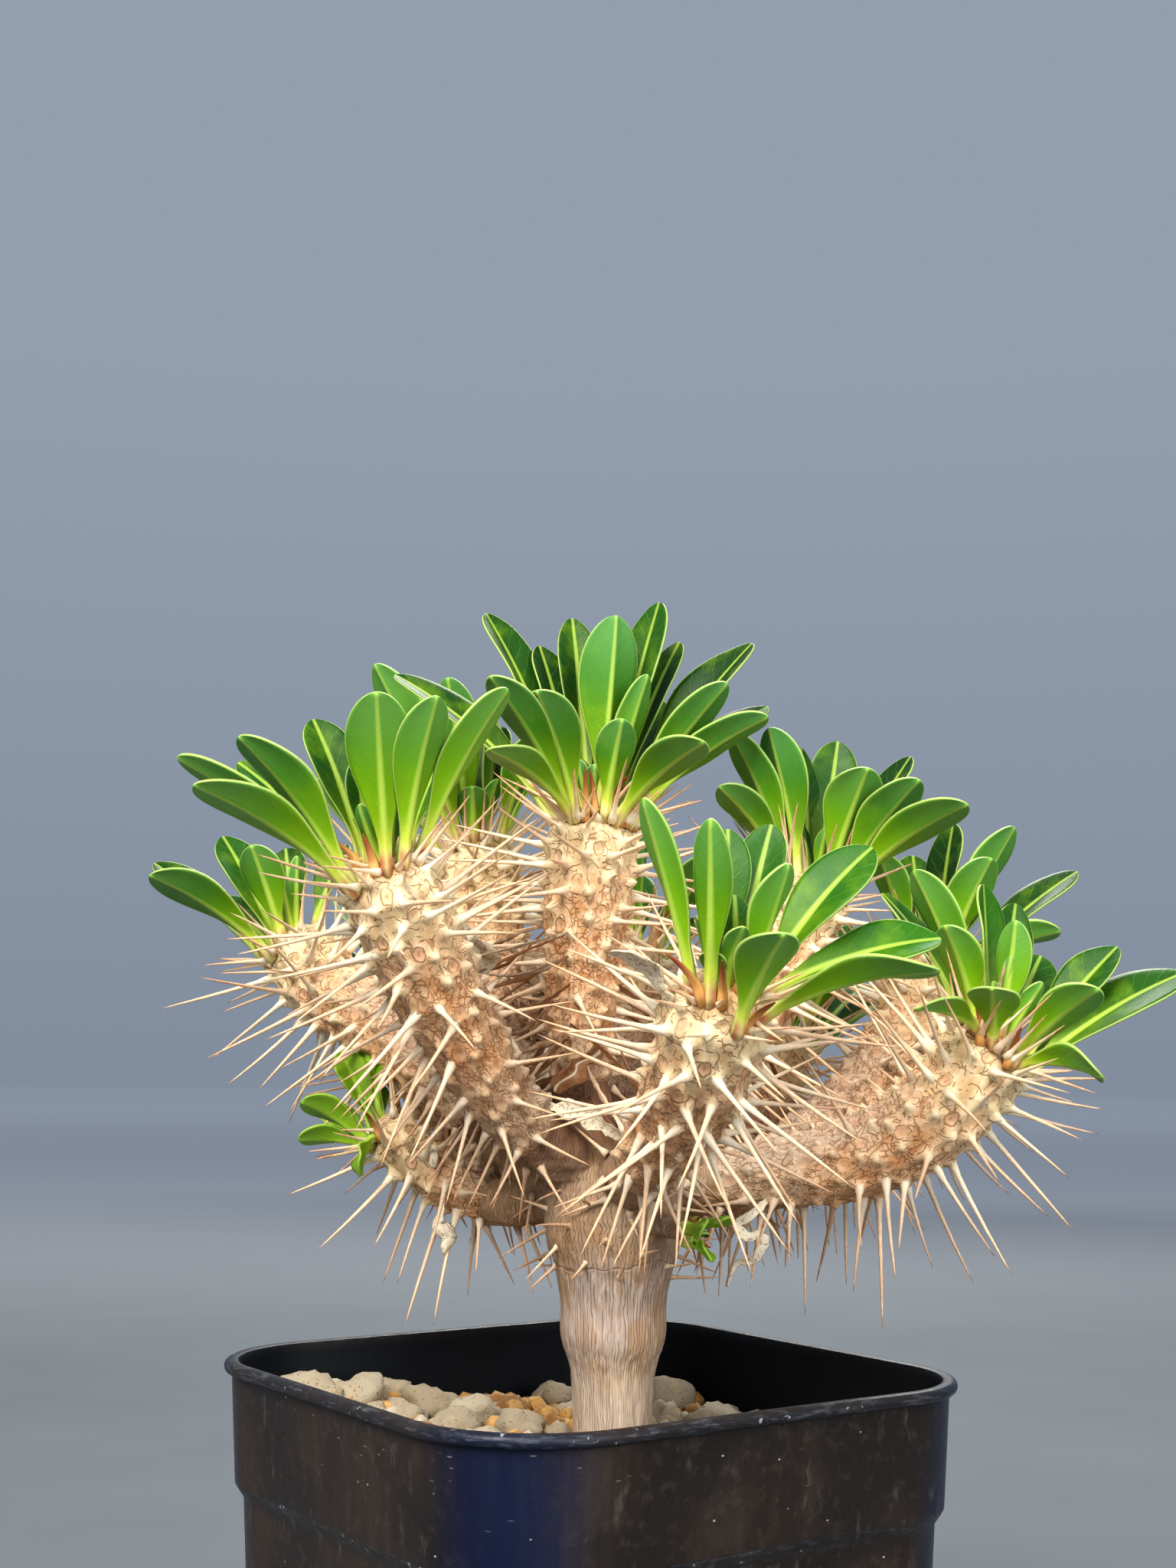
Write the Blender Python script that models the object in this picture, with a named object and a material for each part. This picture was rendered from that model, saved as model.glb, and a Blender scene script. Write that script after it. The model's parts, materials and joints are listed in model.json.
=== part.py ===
"""A potted euphorbia: a thorny, branching succulent in a square nursery pot.

Metres, +Z up. The origin is the middle of the pot's flat base, and the pot's sides lie
along X and Y. Every size below is in millimetres, and each mesh is scaled to metres as it is
made. The plant is laid out in its own frame (right, away, up), which shares the pot's
upright axis and is turned about it by PLANT_TURN, so that "away" looks past a pot corner.

The pot holds soil, the soil holds the trunk in a plain hole, gravel covers the soil, and the
trunk carries the branches. Each branch is a stem with its spines, and ends in a rosette of
leaves. Neighbours stay GAP apart.
"""
import math
import random
from collections import namedtuple

import bpy
import numpy as np
from mathutils import Matrix, Vector
from mathutils.bvhtree import BVHTree

MM = 0.001
GAP = 0.3
PLANT_TURN = -35.0
GOLDEN_TURN = math.radians(137.5)

# The pot: a 10.5 cm square nursery pot, rounded corners, a rolled lip and a stacking step
POT_SIDE = 105.0
POT_HEIGHT = 110.0
POT_CORNER = 23.0
POT_WALL = 1.3
POT_FLOOR = 2.0
LIP_DEPTH = 2.2
LIP_REACH = 1.4
LIP_THICKNESS = 2.6
BAND_TAPER = 0.065
STEP_TOP = 89.0
STEP_DROP = 2.3
STEP_IN = 1.6
LOWER_TAPER = 0.065
FOOT_CHAMFER = 1.2
CORNER_STEPS = 5
DRAIN_RADIUS = 4.5
DRAIN_PLACE = 26.0

# What fills the pot
SOIL_TOP = 90.5
GRAVEL_TOP = 97.0
STONE_PITCH = 13.5
STONE_RADIUS = 7.6
STONE_FLATNESS = 0.66
ROOT_DEPTH = 44.0

# The trunk: height above the pot's base and radius, from its buried end to its rounded head
TRUNK_MIDDLE = (5.0, 0.0)
TRUNK_PROFILE = [
    (ROOT_DEPTH, 6.2), (97.0, 7.0), (111.5, 9.0), (114.5, 9.7), (117.5, 9.1), (123.0, 9.7),
    (128.0, 10.9), (132.5, 12.2), (138.5, 12.4), (144.0, 10.2), (148.0, 6.0),
]
TRUNK_SIDES = 12
HEAD = (4, 2, 141)

# Branches and spines
STEM_SIDES = 8
STEM_RING_PITCH = 11.0
TIP_ROUNDING = 3.0
SPINE_LENGTH = 21.0
OLD_SPINE_LENGTH = 9.0
SPINE_ROOT_RADIUS = 0.95
SPINE_SUNK = 1.6
SPINE_AREA = 70.0
SPINE_CLEAR = 0.45

# Leaves and the green growing point that they stand on
LEAF_KEEL = 1.2
LEAF_ROOT_HALF_WIDTH = 1.3
LEAF_FOLD = 27.0
LEAF_BOW = 0.3
LEAF_TURN = 0.6
CROWN_UPRIGHT = 2.0
# Along a leaf: the part of its length, its half width there and how much of the fold it has
LEAF_STATIONS = [(0, 0.2, 1.0), (0.33, 0.56, 1.0), (0.67, 1.0, 0.85), (0.91, 0.8, 0.6)]
DOME_SIDES = 8

Branch = namedtuple("Branch", "name path split radii leaves core", defaults=(6.0,))
Stem = namedtuple("Stem", "centres forwards sides ups length")

# Each branch: the points that its middle runs through from the trunk's head, how far along
# it leaves the trunk's own solid, its radius at both ends, and its leaves. A leaf is the
# place of its tip, seen from the branch's tip (right, away, up), and its width laid flat.
BRANCHES = [
    Branch(
        "left_front",
        [(-3, -5, 146), (-14, -12, 156), (-21, -18, 167), (-27, -24, 178), (-31, -28, 187), (-33, -31, 193)],
        20, (6.3, 9.0),
        [(-28, -23, 12, 11), (-35, -4, 19, 9.5), (-22, -17, 21, 10.5), (-27, 7, 20, 8.5), (-13, 1, 27, 10),
         (-1, -17, 28, 12), (8, -14, 28, 10), (19, -6, 31, 10.5), (7, 9, 21, 8.5), (-12, 15, 22, 9),
         (-5, -4, 19, 6)],
    ),
    Branch(
        "top",
        [(0, 5, 152), (-1, 5, 168), (0, 4, 187), (1, 4, 206)],
        20, (6.0, 9.2),
        [(-10, -21, 22, 11), (-18, -27, 23, 9), (-20, 4, 42, 12), (-10, 6, 36, 10), (-4, 8, 42, 10),
         (4, -5, 39, 13), (12, 4, 44, 12), (16, 10, 38, 9), (30, 4, 36, 14), (33, 9, 26, 10),
         (24, -12, 25, 9.5), (31, -12, 20, 9.5), (19, -24, 12, 10.5), (5, -13, 18, 8), (9, -5, 28, 7),
         (-15, 13, 28, 9.5), (-18, -28, 10, 8), (-3, 21, 28, 10.5), (13, 20, 28, 10.5)],
    ),
    Branch(
        "front",
        [(8, -10, 143), (13, -27, 150), (18, -43, 161), (20, -53, 172)],
        21, (6.3, 9.2),
        [(-12, -15, 29, 9.5), (-2, -16, 26, 9.5), (2, 2, 27, 8.5), (9, 5, 28, 10), (10, -11, 20, 9.5),
         (24, 2, 25, 12), (8, -21, 9, 12), (30, -22, 4, 11), (35, 3, 10, 10.5), (3, -3, 16, 5.5)],
    ),
    Branch(
        "upper_right",
        [(15, 8, 149), (27, 14, 167), (37, 18, 183), (43, 20, 195)],
        21, (6.2, 9.0),
        [(-8, -5, 32, 11), (-15, -4, 31, 9.5), (-18, -11, 20, 9.5), (-10, 7, 31, 8), (0, 4, 30, 9),
         (7, 8, 32, 11), (9, -16, 23, 12), (20, 2, 28, 10.5), (18, -18, 21, 10.5), (26, -24, 16, 10.5),
         (-14, 15, 21, 9.5), (1, 18, 24, 9.5)],
    ),
    Branch(
        "right",
        [(15, 0, 141), (30, -4, 143), (49, -6, 147), (62, -8, 155), (71, -8, 165)],
        22, (6.3, 9.0),
        [(-17, 5, 29, 8.5), (-13, -3, 32, 11.5), (-9, -11, 22, 10.5), (0, 3, 30, 12), (7, 8, 27, 10.5),
         (5, -4, 23, 7.5), (-3, -19, 8, 12), (25, 6, 19, 11), (14, -21, 11, 10.5), (36, 3, 15, 12.5),
         (14, -21, -4, 9.5), (-15, -16, 7, 8.5), (14, 17, 19, 10.5), (-5, 17, 20, 9.5), (24, 17, 8, 9.5)],
    ),
    Branch(
        "right_back",
        [(18, 8, 138), (38, 20, 145), (57, 29, 159), (65, 34, 171), (68, 36, 181)],
        24, (6.0, 8.6),
        [(6, 3, 31, 10.5), (17, -2, 30, 11), (11, -9, 23, 11), (31, 0, 21, 11), (25, -9, 9, 9),
         (1, 17, 26, 10.5), (15, 17, 22, 10.5), (27, 12, 11, 9.5), (-9, -3, 24, 8.5)],
    ),
    Branch(
        "left_back",
        [(-9, 7, 145), (-27, 16, 160), (-41, 25, 171), (-51, 30, 177), (-57, 31, 185)],
        30, (6.0, 8.4),
        [(-26, -17, 13, 10.5), (-30, 2, 16, 10), (-17, 7, 23, 10), (-8, -11, 19, 9), (-21, 19, 11, 9.5),
         (-6, 18, 21, 9.5), (8, 8, 21, 9.5)],
    ),
    Branch(
        "upper_back",
        [(-5, 12, 150), (-14, 25, 168), (-20, 33, 187), (-22, 36, 204)],
        30, (6.0, 8.8),
        [(-21, -10, 37, 11), (-6, -8, 35, 10.5), (-12, -18, 25, 9), (2, 0, 35, 10), (-17, 12, 29, 10.5),
         (-1, 15, 33, 10.5), (15, 12, 27, 10.5), (-25, 3, 21, 10), (12, -6, 24, 9)],
    ),
    Branch(
        "back_left",
        [(-8, 18, 143), (-20, 35, 149), (-32, 50, 160), (-37, 60, 174)],
        30, (6.0, 8.4),
        [(-22, 14, 14, 10.5), (-12, -7, 27, 10.5), (-17, 3, 24, 10.5), (-8, 21, 17, 10.5), (7, 16, 22, 10.5),
         (4, 2, 28, 10), (-24, -4, 13, 10)],
    ),
    Branch(
        "back",
        [(4, 16, 147), (8, 32, 158), (10, 46, 170), (9, 57, 184)],
        28, (6.0, 8.6),
        [(-14, 17, 20, 10.5), (2, 22, 21, 11), (16, 15, 20, 10.5), (18, -1, 23, 10.5), (-13, -2, 26, 10.5),
         (3, 5, 30, 10.5), (22, 7, 11, 10), (-21, 6, 11, 10)],
    ),
    Branch(
        "back_right",
        [(9, 14, 139), (20, 33, 143), (33, 49, 152), (41, 61, 166)],
        28, (6.0, 8.4),
        [(20, 15, 15, 10.5), (4, 22, 18, 10.5), (16, -3, 26, 10.5), (2, 3, 29, 10.5), (-12, 13, 21, 10.5),
         (-16, -1, 17, 10), (25, 2, 12, 10.5)],
    ),
    Branch(
        "low_left",
        [(-15, 11, 137), (-29, 14, 143), (-37, 15, 150)],
        25, (5.0, 5.6),
        [(-16, -3, 1, 7), (-13, -7, 5, 7), (-11, 1, 10, 7.5), (-4, -5, 11, 7), (-4, 7, 8, 6.5),
         (-5, -11, -3, 7), (-13, 7, 3, 7)],
        4.0,
    ),
    Branch(
        "bud",
        [(11, -8, 136), (18, -16, 134)],
        99, (3.4, 2.6),
        [(7, -2, 3, 4), (2, -7, 2, 4), (4, -5, -3, 4)],
        1.9,
    ),
]

POT_BLACK = (0.018, 0.019, 0.022, 1)
SOIL_BROWN = (0.20, 0.11, 0.05, 1)
PUMICE = (0.60, 0.53, 0.43, 1)
BARK_TAN = (0.50, 0.35, 0.21, 1)
STEM_IVORY = (0.66, 0.45, 0.26, 1)
LEAF_GREEN = (0.09, 0.27, 0.03, 1)


def clear_scene():
    for leftover in list(bpy.data.objects):
        bpy.data.objects.remove(leftover, do_unlink=True)


def material(name, colour, roughness):
    made = bpy.data.materials.new(name)
    made.use_nodes = True
    shader = made.node_tree.nodes["Principled BSDF"]
    shader.inputs["Base Color"].default_value = colour
    shader.inputs["Roughness"].default_value = roughness
    shader.inputs["Metallic"].default_value = 0.0
    return made


def solid(name, points, faces):
    """An object from points in millimetres and the faces between them."""
    mesh = bpy.data.meshes.new(name)
    mesh.from_pydata([Vector(p) * MM for p in points], [], faces)
    mesh.validate()
    made = bpy.data.objects.new(name, mesh)
    bpy.context.collection.objects.link(made)
    return made


def finish(made, colour, roughness, parent=None, smooth_below=40.0):
    made.data.materials.clear()
    made.data.materials.append(material(made.name, colour, roughness))
    made.data.shade_smooth()
    made.data.set_sharp_from_angle(angle=math.radians(smooth_below))
    made.parent = parent
    return made


def combine(base, others, operation="UNION", solver="EXACT"):
    """Joins the other objects to base, or cuts them from it, in one Boolean, and removes them."""
    group = bpy.data.collections.new(base.name + "_pieces")
    bpy.context.scene.collection.children.link(group)
    for piece in others:
        for owner in list(piece.users_collection):
            owner.objects.unlink(piece)
        group.objects.link(piece)
    boolean = base.modifiers.new("joined", "BOOLEAN")
    boolean.operation = operation
    boolean.solver = solver
    boolean.operand_type = "COLLECTION"
    boolean.collection = group
    bpy.context.view_layer.update()
    seen = base.evaluated_get(bpy.context.evaluated_depsgraph_get())
    joined = bpy.data.meshes.new_from_object(seen)
    base.modifiers.clear()
    base.data = joined
    for piece in list(group.objects):
        bpy.data.objects.remove(piece, do_unlink=True)
    bpy.data.collections.remove(group)
    return base


def rings_to_faces(ring_count, sides):
    """Side faces between rings of equal size, and a cap at each end."""
    faces = []
    for ring in range(ring_count - 1):
        for k in range(sides):
            after = (k + 1) % sides
            low, high = ring * sides, (ring + 1) * sides
            faces.append((low + k, low + after, high + after, high + k))
    faces.append(tuple(reversed(range(sides))))
    faces.append(tuple(range((ring_count - 1) * sides, ring_count * sides)))
    return faces


# The pot and what fills it


def pot_outline(inset, height):
    """A ring of the pot's rounded square, that far inside the lip's outer edge."""
    half = POT_SIDE / 2 - inset
    corner = POT_CORNER - inset
    ring = []
    for quarter in range(4):
        middle = math.radians(45 + 90 * quarter)
        across = math.copysign(half - corner, math.cos(middle))
        along = math.copysign(half - corner, math.sin(middle))
        for step in range(CORNER_STEPS + 1):
            turn = math.radians(90 * quarter + 90 * step / CORNER_STEPS)
            ring.append((across + corner * math.cos(turn), along + corner * math.sin(turn), height))
    return ring


def wall_inset(height):
    """How far the pot's outer wall stands inside the lip's edge at a height."""
    under_lip = LIP_REACH + BAND_TAPER * (POT_HEIGHT - LIP_DEPTH - height)
    if height >= STEP_TOP:
        return under_lip
    at_step = LIP_REACH + BAND_TAPER * (POT_HEIGHT - LIP_DEPTH - STEP_TOP)
    step_bottom = STEP_TOP - STEP_DROP
    if height >= step_bottom:
        return at_step + STEP_IN * (STEP_TOP - height) / STEP_DROP
    return at_step + STEP_IN + LOWER_TAPER * (step_bottom - height)


def make_pot():
    under_lip = POT_HEIGHT - LIP_DEPTH
    step_bottom = STEP_TOP - STEP_DROP
    profile = [
        (wall_inset(0) + FOOT_CHAMFER, 0),
        (wall_inset(FOOT_CHAMFER), FOOT_CHAMFER),
        (wall_inset(step_bottom), step_bottom),
        (wall_inset(STEP_TOP), STEP_TOP),
        (wall_inset(under_lip), under_lip),
        (0.4, under_lip),
        (0, under_lip + 0.5),
        (0, POT_HEIGHT - 0.6),
        (0.6, POT_HEIGHT),
        (LIP_THICKNESS - 0.4, POT_HEIGHT),
        (LIP_THICKNESS, POT_HEIGHT - 0.5),
        (wall_inset(STEP_TOP) + POT_WALL, STEP_TOP),
        (wall_inset(step_bottom) + POT_WALL, step_bottom),
        (wall_inset(POT_FLOOR) + POT_WALL, POT_FLOOR),
    ]
    points = [point for inset, height in profile for point in pot_outline(inset, height)]
    sides = 4 * (CORNER_STEPS + 1)
    pot = solid("pot", points, rings_to_faces(len(profile), sides))
    holes = []
    for across in (-DRAIN_PLACE, DRAIN_PLACE):
        for along in (-DRAIN_PLACE, DRAIN_PLACE):
            holes.append(post("drain", across, along, -POT_FLOOR, 2 * POT_FLOOR, DRAIN_RADIUS, 10))
    combine(pot, holes, "DIFFERENCE")
    return finish(pot, POT_BLACK, 0.55)


def post(name, across, along, low, high, radius, sides):
    """A plain upright prism, used as a cutter."""
    points = []
    for height in (low, high):
        for k in range(sides):
            turn = math.tau * k / sides
            points.append((across + radius * math.cos(turn), along + radius * math.sin(turn), height))
    return solid(name, points, rings_to_faces(2, sides))


def trunk_hole(low, high, radius):
    """The plain hole that the trunk stands in, GAP clear of its flats, in the pot's frame."""
    clear = (radius + GAP) / math.cos(math.pi / TRUNK_SIDES)
    hole = post("trunk_hole", *TRUNK_MIDDLE, low, high, clear, TRUNK_SIDES)
    hole.data.transform(Matrix.Rotation(math.radians(PLANT_TURN), 4, "Z"))
    return hole


def inner_ring(height):
    return pot_outline(wall_inset(height) + POT_WALL + GAP, height)


def make_soil():
    step_bottom = STEP_TOP - STEP_DROP
    heights = [POT_FLOOR + GAP, step_bottom - GAP, STEP_TOP, SOIL_TOP]
    rings = [inner_ring(height) for height in heights]
    points = [point for ring in rings for point in ring]
    soil = solid("soil", points, rings_to_faces(len(rings), 4 * (CORNER_STEPS + 1)))
    combine(soil, [trunk_hole(ROOT_DEPTH - GAP, SOIL_TOP + 5, 7.0)], "DIFFERENCE")
    return finish(soil, SOIL_BROWN, 0.95)


ICOSAHEDRON = [
    Vector(p).normalized()
    for s in (1, -1)
    for g in (1.618, -1.618)
    for p in ((0, s, g), (s, g, 0), (g, 0, s))
]


def hull_faces(corners):
    """The outward triangles of an icosahedron, found from its nearest corner triples."""
    faces = []
    for i in range(12):
        for j in range(i + 1, 12):
            for k in range(j + 1, 12):
                a, b, c = corners[i], corners[j], corners[k]
                if max((a - b).length, (b - c).length, (a - c).length) > 1.1:
                    continue
                outward = (b - a).cross(c - a).dot(a + b + c) > 0
                faces.append((i, j, k) if outward else (i, k, j))
    return faces


STONE_FACES = hull_faces(ICOSAHEDRON)


def stone(name, place, radius, draw):
    """One irregular pebble, flatter than it is wide."""
    turned = Matrix.Rotation(draw.uniform(0, math.tau), 3, "Z") @ Matrix.Rotation(draw.uniform(0, 1), 3, "X")
    points = []
    for corner in ICOSAHEDRON:
        at = turned @ (corner * radius * draw.uniform(0.88, 1.1))
        points.append((place[0] + at.x, place[1] + at.y * 0.85, place[2] + at.z * STONE_FLATNESS))
    return solid(name, points, STONE_FACES)


def make_gravel():
    """A layer of pebbles, fused on a thin bed that covers the soil."""
    draw = random.Random(11)
    rings = [inner_ring(SOIL_TOP + GAP), inner_ring(GRAVEL_TOP)]
    bed = solid("gravel", rings[0] + rings[1], rings_to_faces(2, 4 * (CORNER_STEPS + 1)))
    limit = POT_SIDE / 2 - wall_inset(SOIL_TOP) - POT_WALL - GAP - 1.2 * STONE_RADIUS
    corner_limit = limit * 1.27
    count = math.floor(2 * limit / STONE_PITCH)
    trunk_at = Matrix.Rotation(math.radians(PLANT_TURN), 2) @ Vector(TRUNK_MIDDLE)
    stones = []
    for row in range(count + 1):
        for column in range(count + 1):
            place = Vector(((column / count * 2 - 1) * limit, (row / count * 2 - 1) * limit))
            place += Vector((draw.uniform(-1.5, 1.5), draw.uniform(-1.5, 1.5)))
            place.x = max(-limit, min(limit, place.x))
            place.y = max(-limit, min(limit, place.y))
            lift = GRAVEL_TOP + draw.uniform(-0.8, 1.2)
            radius = STONE_RADIUS * draw.uniform(0.85, 1.08)
            if place.length > corner_limit:
                place *= corner_limit / place.length
            if (place - trunk_at).length < 7.5 + 0.6 * radius:
                continue
            stones.append(stone("stone", (place.x, place.y, lift), radius, draw))
    combine(bed, stones)
    combine(bed, [trunk_hole(SOIL_TOP - 5, GRAVEL_TOP + 20, 7.6)], "DIFFERENCE")
    return finish(bed, PUMICE, 0.9, smooth_below=15)


# Stems


def smooth_stem(points):
    """A curve through the points (Catmull-Rom), read every millimetre, with untwisted frames."""
    knots = np.array(points, float)
    knots = np.vstack([2 * knots[0] - knots[1], knots, 2 * knots[-1] - knots[-2]])
    dense = []
    for a, b, c, d in zip(knots, knots[1:], knots[2:], knots[3:]):
        for t in np.linspace(0, 1, 24, endpoint=False):
            dense.append(0.5 * (2 * b + (c - a) * t + (2 * a - 5 * b + 4 * c - d) * t**2
                                + (3 * b - a - 3 * c + d) * t**3))
    dense = np.array(dense + [knots[-2]])
    along = np.concatenate([[0], np.cumsum(np.linalg.norm(np.diff(dense, axis=0), axis=1))])
    length = along[-1]
    read = np.linspace(0, length, max(int(length), 4) + 1)
    centres = np.stack([np.interp(read, along, dense[:, axis]) for axis in range(3)], 1)
    forwards = np.gradient(centres, axis=0)
    forwards /= np.linalg.norm(forwards, axis=1)[:, None]
    side = np.cross(forwards[0], (0.3, 1.0, 0.1))
    sides = []
    for forward in forwards:
        side = side - forward * side.dot(forward)
        side /= np.linalg.norm(side)
        sides.append(side)
    sides = np.array(sides)
    return Stem(centres, forwards, sides, np.cross(forwards, sides), length)


def read_stem(stem, along):
    """The middle of the stem and its frame at a distance along it."""
    place = np.clip(along / stem.length, 0, 1) * (len(stem.centres) - 1)
    before = min(int(place), len(stem.centres) - 2)
    part = place - before
    found = []
    for table in stem[:4]:
        value = table[before] * (1 - part) + table[before + 1] * part
        found.append(value)
    found[1:] = [value / np.linalg.norm(value) for value in found[1:]]
    return found


def stem_radius(stem, along, radii):
    """Slender below, swelling to a stout tip with a rounded edge."""
    base, tip = radii
    part = min(max((along / stem.length - 0.25) / 0.65, 0), 1)
    radius = base + (tip - base) * part * part * (3 - 2 * part)
    near_end = max(0, along - (stem.length - TIP_ROUNDING)) / TIP_ROUNDING
    return radius * (1 - 0.22 * near_end**2)


def stem_tube(name, stem, start, end, radii, sides=STEM_SIDES):
    """The solid of a stem between two distances along it, flat at both ends."""
    count = max(2, round((end - start) / STEM_RING_PITCH) + 1)
    stations = list(np.linspace(start, end, count))
    if end >= stem.length:
        stations = list(np.linspace(start, end - TIP_ROUNDING, count)) + [end - 1.2, end]
    points = []
    for along in stations:
        middle, _, side, up = read_stem(stem, along)
        radius = stem_radius(stem, along, radii)
        for k in range(sides):
            turn = math.tau * k / sides
            points.append(middle + radius * (math.cos(turn) * side + math.sin(turn) * up))
    return solid(name, points, rings_to_faces(len(stations), sides))


def needle(root, tip, radius):
    """The points and faces of a three-sided needle."""
    forward = (tip - root) / np.linalg.norm(tip - root)
    side = np.cross(forward, (0.2, 0.3, 1.0))
    side /= np.linalg.norm(side)
    up = np.cross(forward, side)
    thirds = [k * math.tau / 3 for k in range(3)]
    points = [root + radius * (math.cos(turn) * side + math.sin(turn) * up) for turn in thirds]
    points.append(tip)
    return points, [(0, 1, 3), (1, 2, 3), (2, 0, 3), (0, 2, 1)]


def turned_about(vector, axis, angle):
    return np.array(Matrix.Rotation(angle, 3, Vector(axis)) @ Vector(vector))


def spine_places(stem, start, end, radii, seed):
    """Where each spine of a stretch of stem is rooted, and which way and how far it points.

    They follow a golden-angle spiral. Young spines near the tip are long and lean forward,
    old ones low on the stem are shorter and stand straight out.
    """
    draw = random.Random(seed)
    mean_radius = stem_radius(stem, (start + end) / 2, radii)
    count = max(1, round(math.tau * mean_radius * (end - start) / SPINE_AREA))
    for k in range(count):
        along = start + (end - start) * (k + 0.5) / count
        middle, forward, side, up = read_stem(stem, along)
        turn = k * GOLDEN_TURN + draw.uniform(-0.12, 0.12)
        outward = math.cos(turn) * side + math.sin(turn) * up
        youth = min(max((along - 12) / (stem.length - 12), 0), 1)
        lean = math.radians(-6 + 14 * youth + 24 * youth**6 + draw.uniform(-12, 12))
        skew = math.radians(draw.uniform(-24, 24))
        across = np.cross(forward, outward)
        aim = outward * math.cos(lean) + forward * math.sin(lean)
        aim = aim * math.cos(skew) + across * math.sin(skew)
        length = OLD_SPINE_LENGTH + (SPINE_LENGTH - OLD_SPINE_LENGTH) * min(1, 1.8 * youth)
        length *= draw.uniform(0.85, 1.1)
        surface = middle + outward * stem_radius(stem, along, radii) * math.cos(math.pi / STEM_SIDES)
        yield surface, aim, forward, length


def clear_of(points, faces, neighbours):
    """Whether a small closed shape crosses none of the neighbours' surfaces."""
    own = BVHTree.FromPolygons([Vector(p) for p in points], faces)
    return not any(own.overlap(tree) for tree in neighbours)


def grow_spines(places, neighbours):
    """Needles at the given places. One that would meet a neighbour is bent, then shortened."""
    needles = []
    bends = [(0, 0), (18, 0), (-18, 0), (0, 18), (0, -18), (34, 0), (-34, 0), (0, 34), (0, -34)]
    for surface, aim, forward, length in places:
        across = np.cross(forward, aim)
        for share in (1.0, 0.75, 0.5):
            for fore, sideways in bends:
                bent = turned_about(aim, across, math.radians(fore))
                bent = turned_about(bent, forward, math.radians(sideways))
                root = surface - bent * SPINE_SUNK
                tip = surface + bent * length * share
                wide, faces = needle(surface + bent, tip + bent, SPINE_ROOT_RADIUS + SPINE_CLEAR)
                if clear_of(wide, faces, neighbours):
                    break
            else:
                continue
            needles.append(needle(root, tip, SPINE_ROOT_RADIUS))
            break
    return needles


# Leaves


def unit(vector):
    return vector / max(np.linalg.norm(vector), 1e-6)


def leaf_solid(root, tip, crown, width):
    """A folded, spoon-shaped leaf: a narrow stalk, widest past the middle, keeled beneath.

    Its upper face looks towards the crown axis, and the leaf is turned a little about its own
    length, so that near leaves show their undersides and far leaves their upper faces. Its four
    corners at each station are the left edge, the gutter, the right edge and the keel. Both
    faces of each half are split along the same diagonal.
    """
    chord = tip - root
    outward = unit(chord - crown * chord.dot(crown))
    control = root + unit(unit(chord) + LEAF_BOW * crown) * np.linalg.norm(chord) / 2
    half = width / 2
    seen_side = math.copysign(1, -chord[1])
    points = []
    for part, share, folded in LEAF_STATIONS:
        reach = max(share * half, LEAF_ROOT_HALF_WIDTH)
        middle = (1 - part) ** 2 * root + 2 * part * (1 - part) * control + part**2 * tip
        forward = unit((1 - part) * (control - root) + part * (tip - control))
        lean = math.atan2(forward.dot(outward), forward.dot(crown))
        inner = math.sin(lean) * crown - math.cos(lean) * outward
        shown = inner + LEAF_TURN * seen_side * np.array((0, 1, 0))
        inner = unit(shown - forward * shown.dot(forward))
        side = np.cross(forward, inner)
        fold = math.radians(LEAF_FOLD * folded)
        rise = inner * reach * math.sin(fold)
        spread = side * reach * math.cos(fold)
        keel = inner * LEAF_KEEL * (1 - 0.35 * part)
        points += [middle - spread + rise, middle, middle + spread + rise, middle - keel]
    points.append(tip)
    faces = [(0, 1, 3), (1, 2, 3)]
    for station in range(len(LEAF_STATIONS) - 1):
        low, high = 4 * station, 4 * station + 4
        left, gutter, right, keel = range(low, low + 4)
        left_up, gutter_up, right_up, keel_up = range(high, high + 4)
        faces += [(left, left_up, gutter), (gutter, left_up, gutter_up)]
        faces += [(gutter, gutter_up, right_up), (gutter, right_up, right)]
        faces += [(left, keel, left_up), (keel, keel_up, left_up)]
        faces += [(keel, right, right_up), (keel, right_up, keel_up)]
    end = len(points) - 1
    left, gutter, right, keel = range(end - 4, end)
    faces += [(left, end, gutter), (gutter, end, right), (right, end, keel), (keel, end, left)]
    return points, faces


def leaf_root(tip_at, offset, axis, crown, core):
    """Where a leaf grows from the growing point: outer leaves lower and further out."""
    outward = offset - crown * offset.dot(crown)
    lean = math.atan2(np.linalg.norm(outward), offset.dot(crown))
    openness = min(lean / math.radians(75), 1)
    away = core * (0.2 + 0.55 * openness)
    height = core * (0.5 - 0.14 * openness)
    return tip_at + axis * height + unit(outward - axis * outward.dot(axis)) * away


def rosette_pieces(branch, stem):
    """The growing point and the leaves of a branch, as points and faces."""
    tip_at, axis, side, up = read_stem(stem, stem.length)
    core = branch.core
    crown = unit(axis + CROWN_UPRIGHT * max(axis[2], 0) * np.array((0, 0, 1)))
    dome = []
    for height, radius in ((GAP, core), (0.34 * core, 0.9 * core), (0.56 * core, 0.5 * core)):
        for k in range(DOME_SIDES):
            turn = math.tau * k / DOME_SIDES
            dome.append(tip_at + axis * height + radius * (math.cos(turn) * side + math.sin(turn) * up))
    pieces = [(dome, rings_to_faces(3, DOME_SIDES))]
    for *place, width in branch.leaves:
        offset = np.array(place, float)
        root = leaf_root(tip_at, offset, axis, crown, core)
        pieces.append(leaf_solid(root, tip_at + offset, crown, width))
    return pieces


def tree_of(pieces):
    """A search tree over the surfaces of several shapes."""
    points = []
    faces = []
    for some_points, some_faces in pieces:
        start = len(points)
        points += [Vector(p) for p in some_points]
        faces += [tuple(start + corner for corner in face) for face in some_faces]
    return BVHTree.FromPolygons(points, faces)


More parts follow.
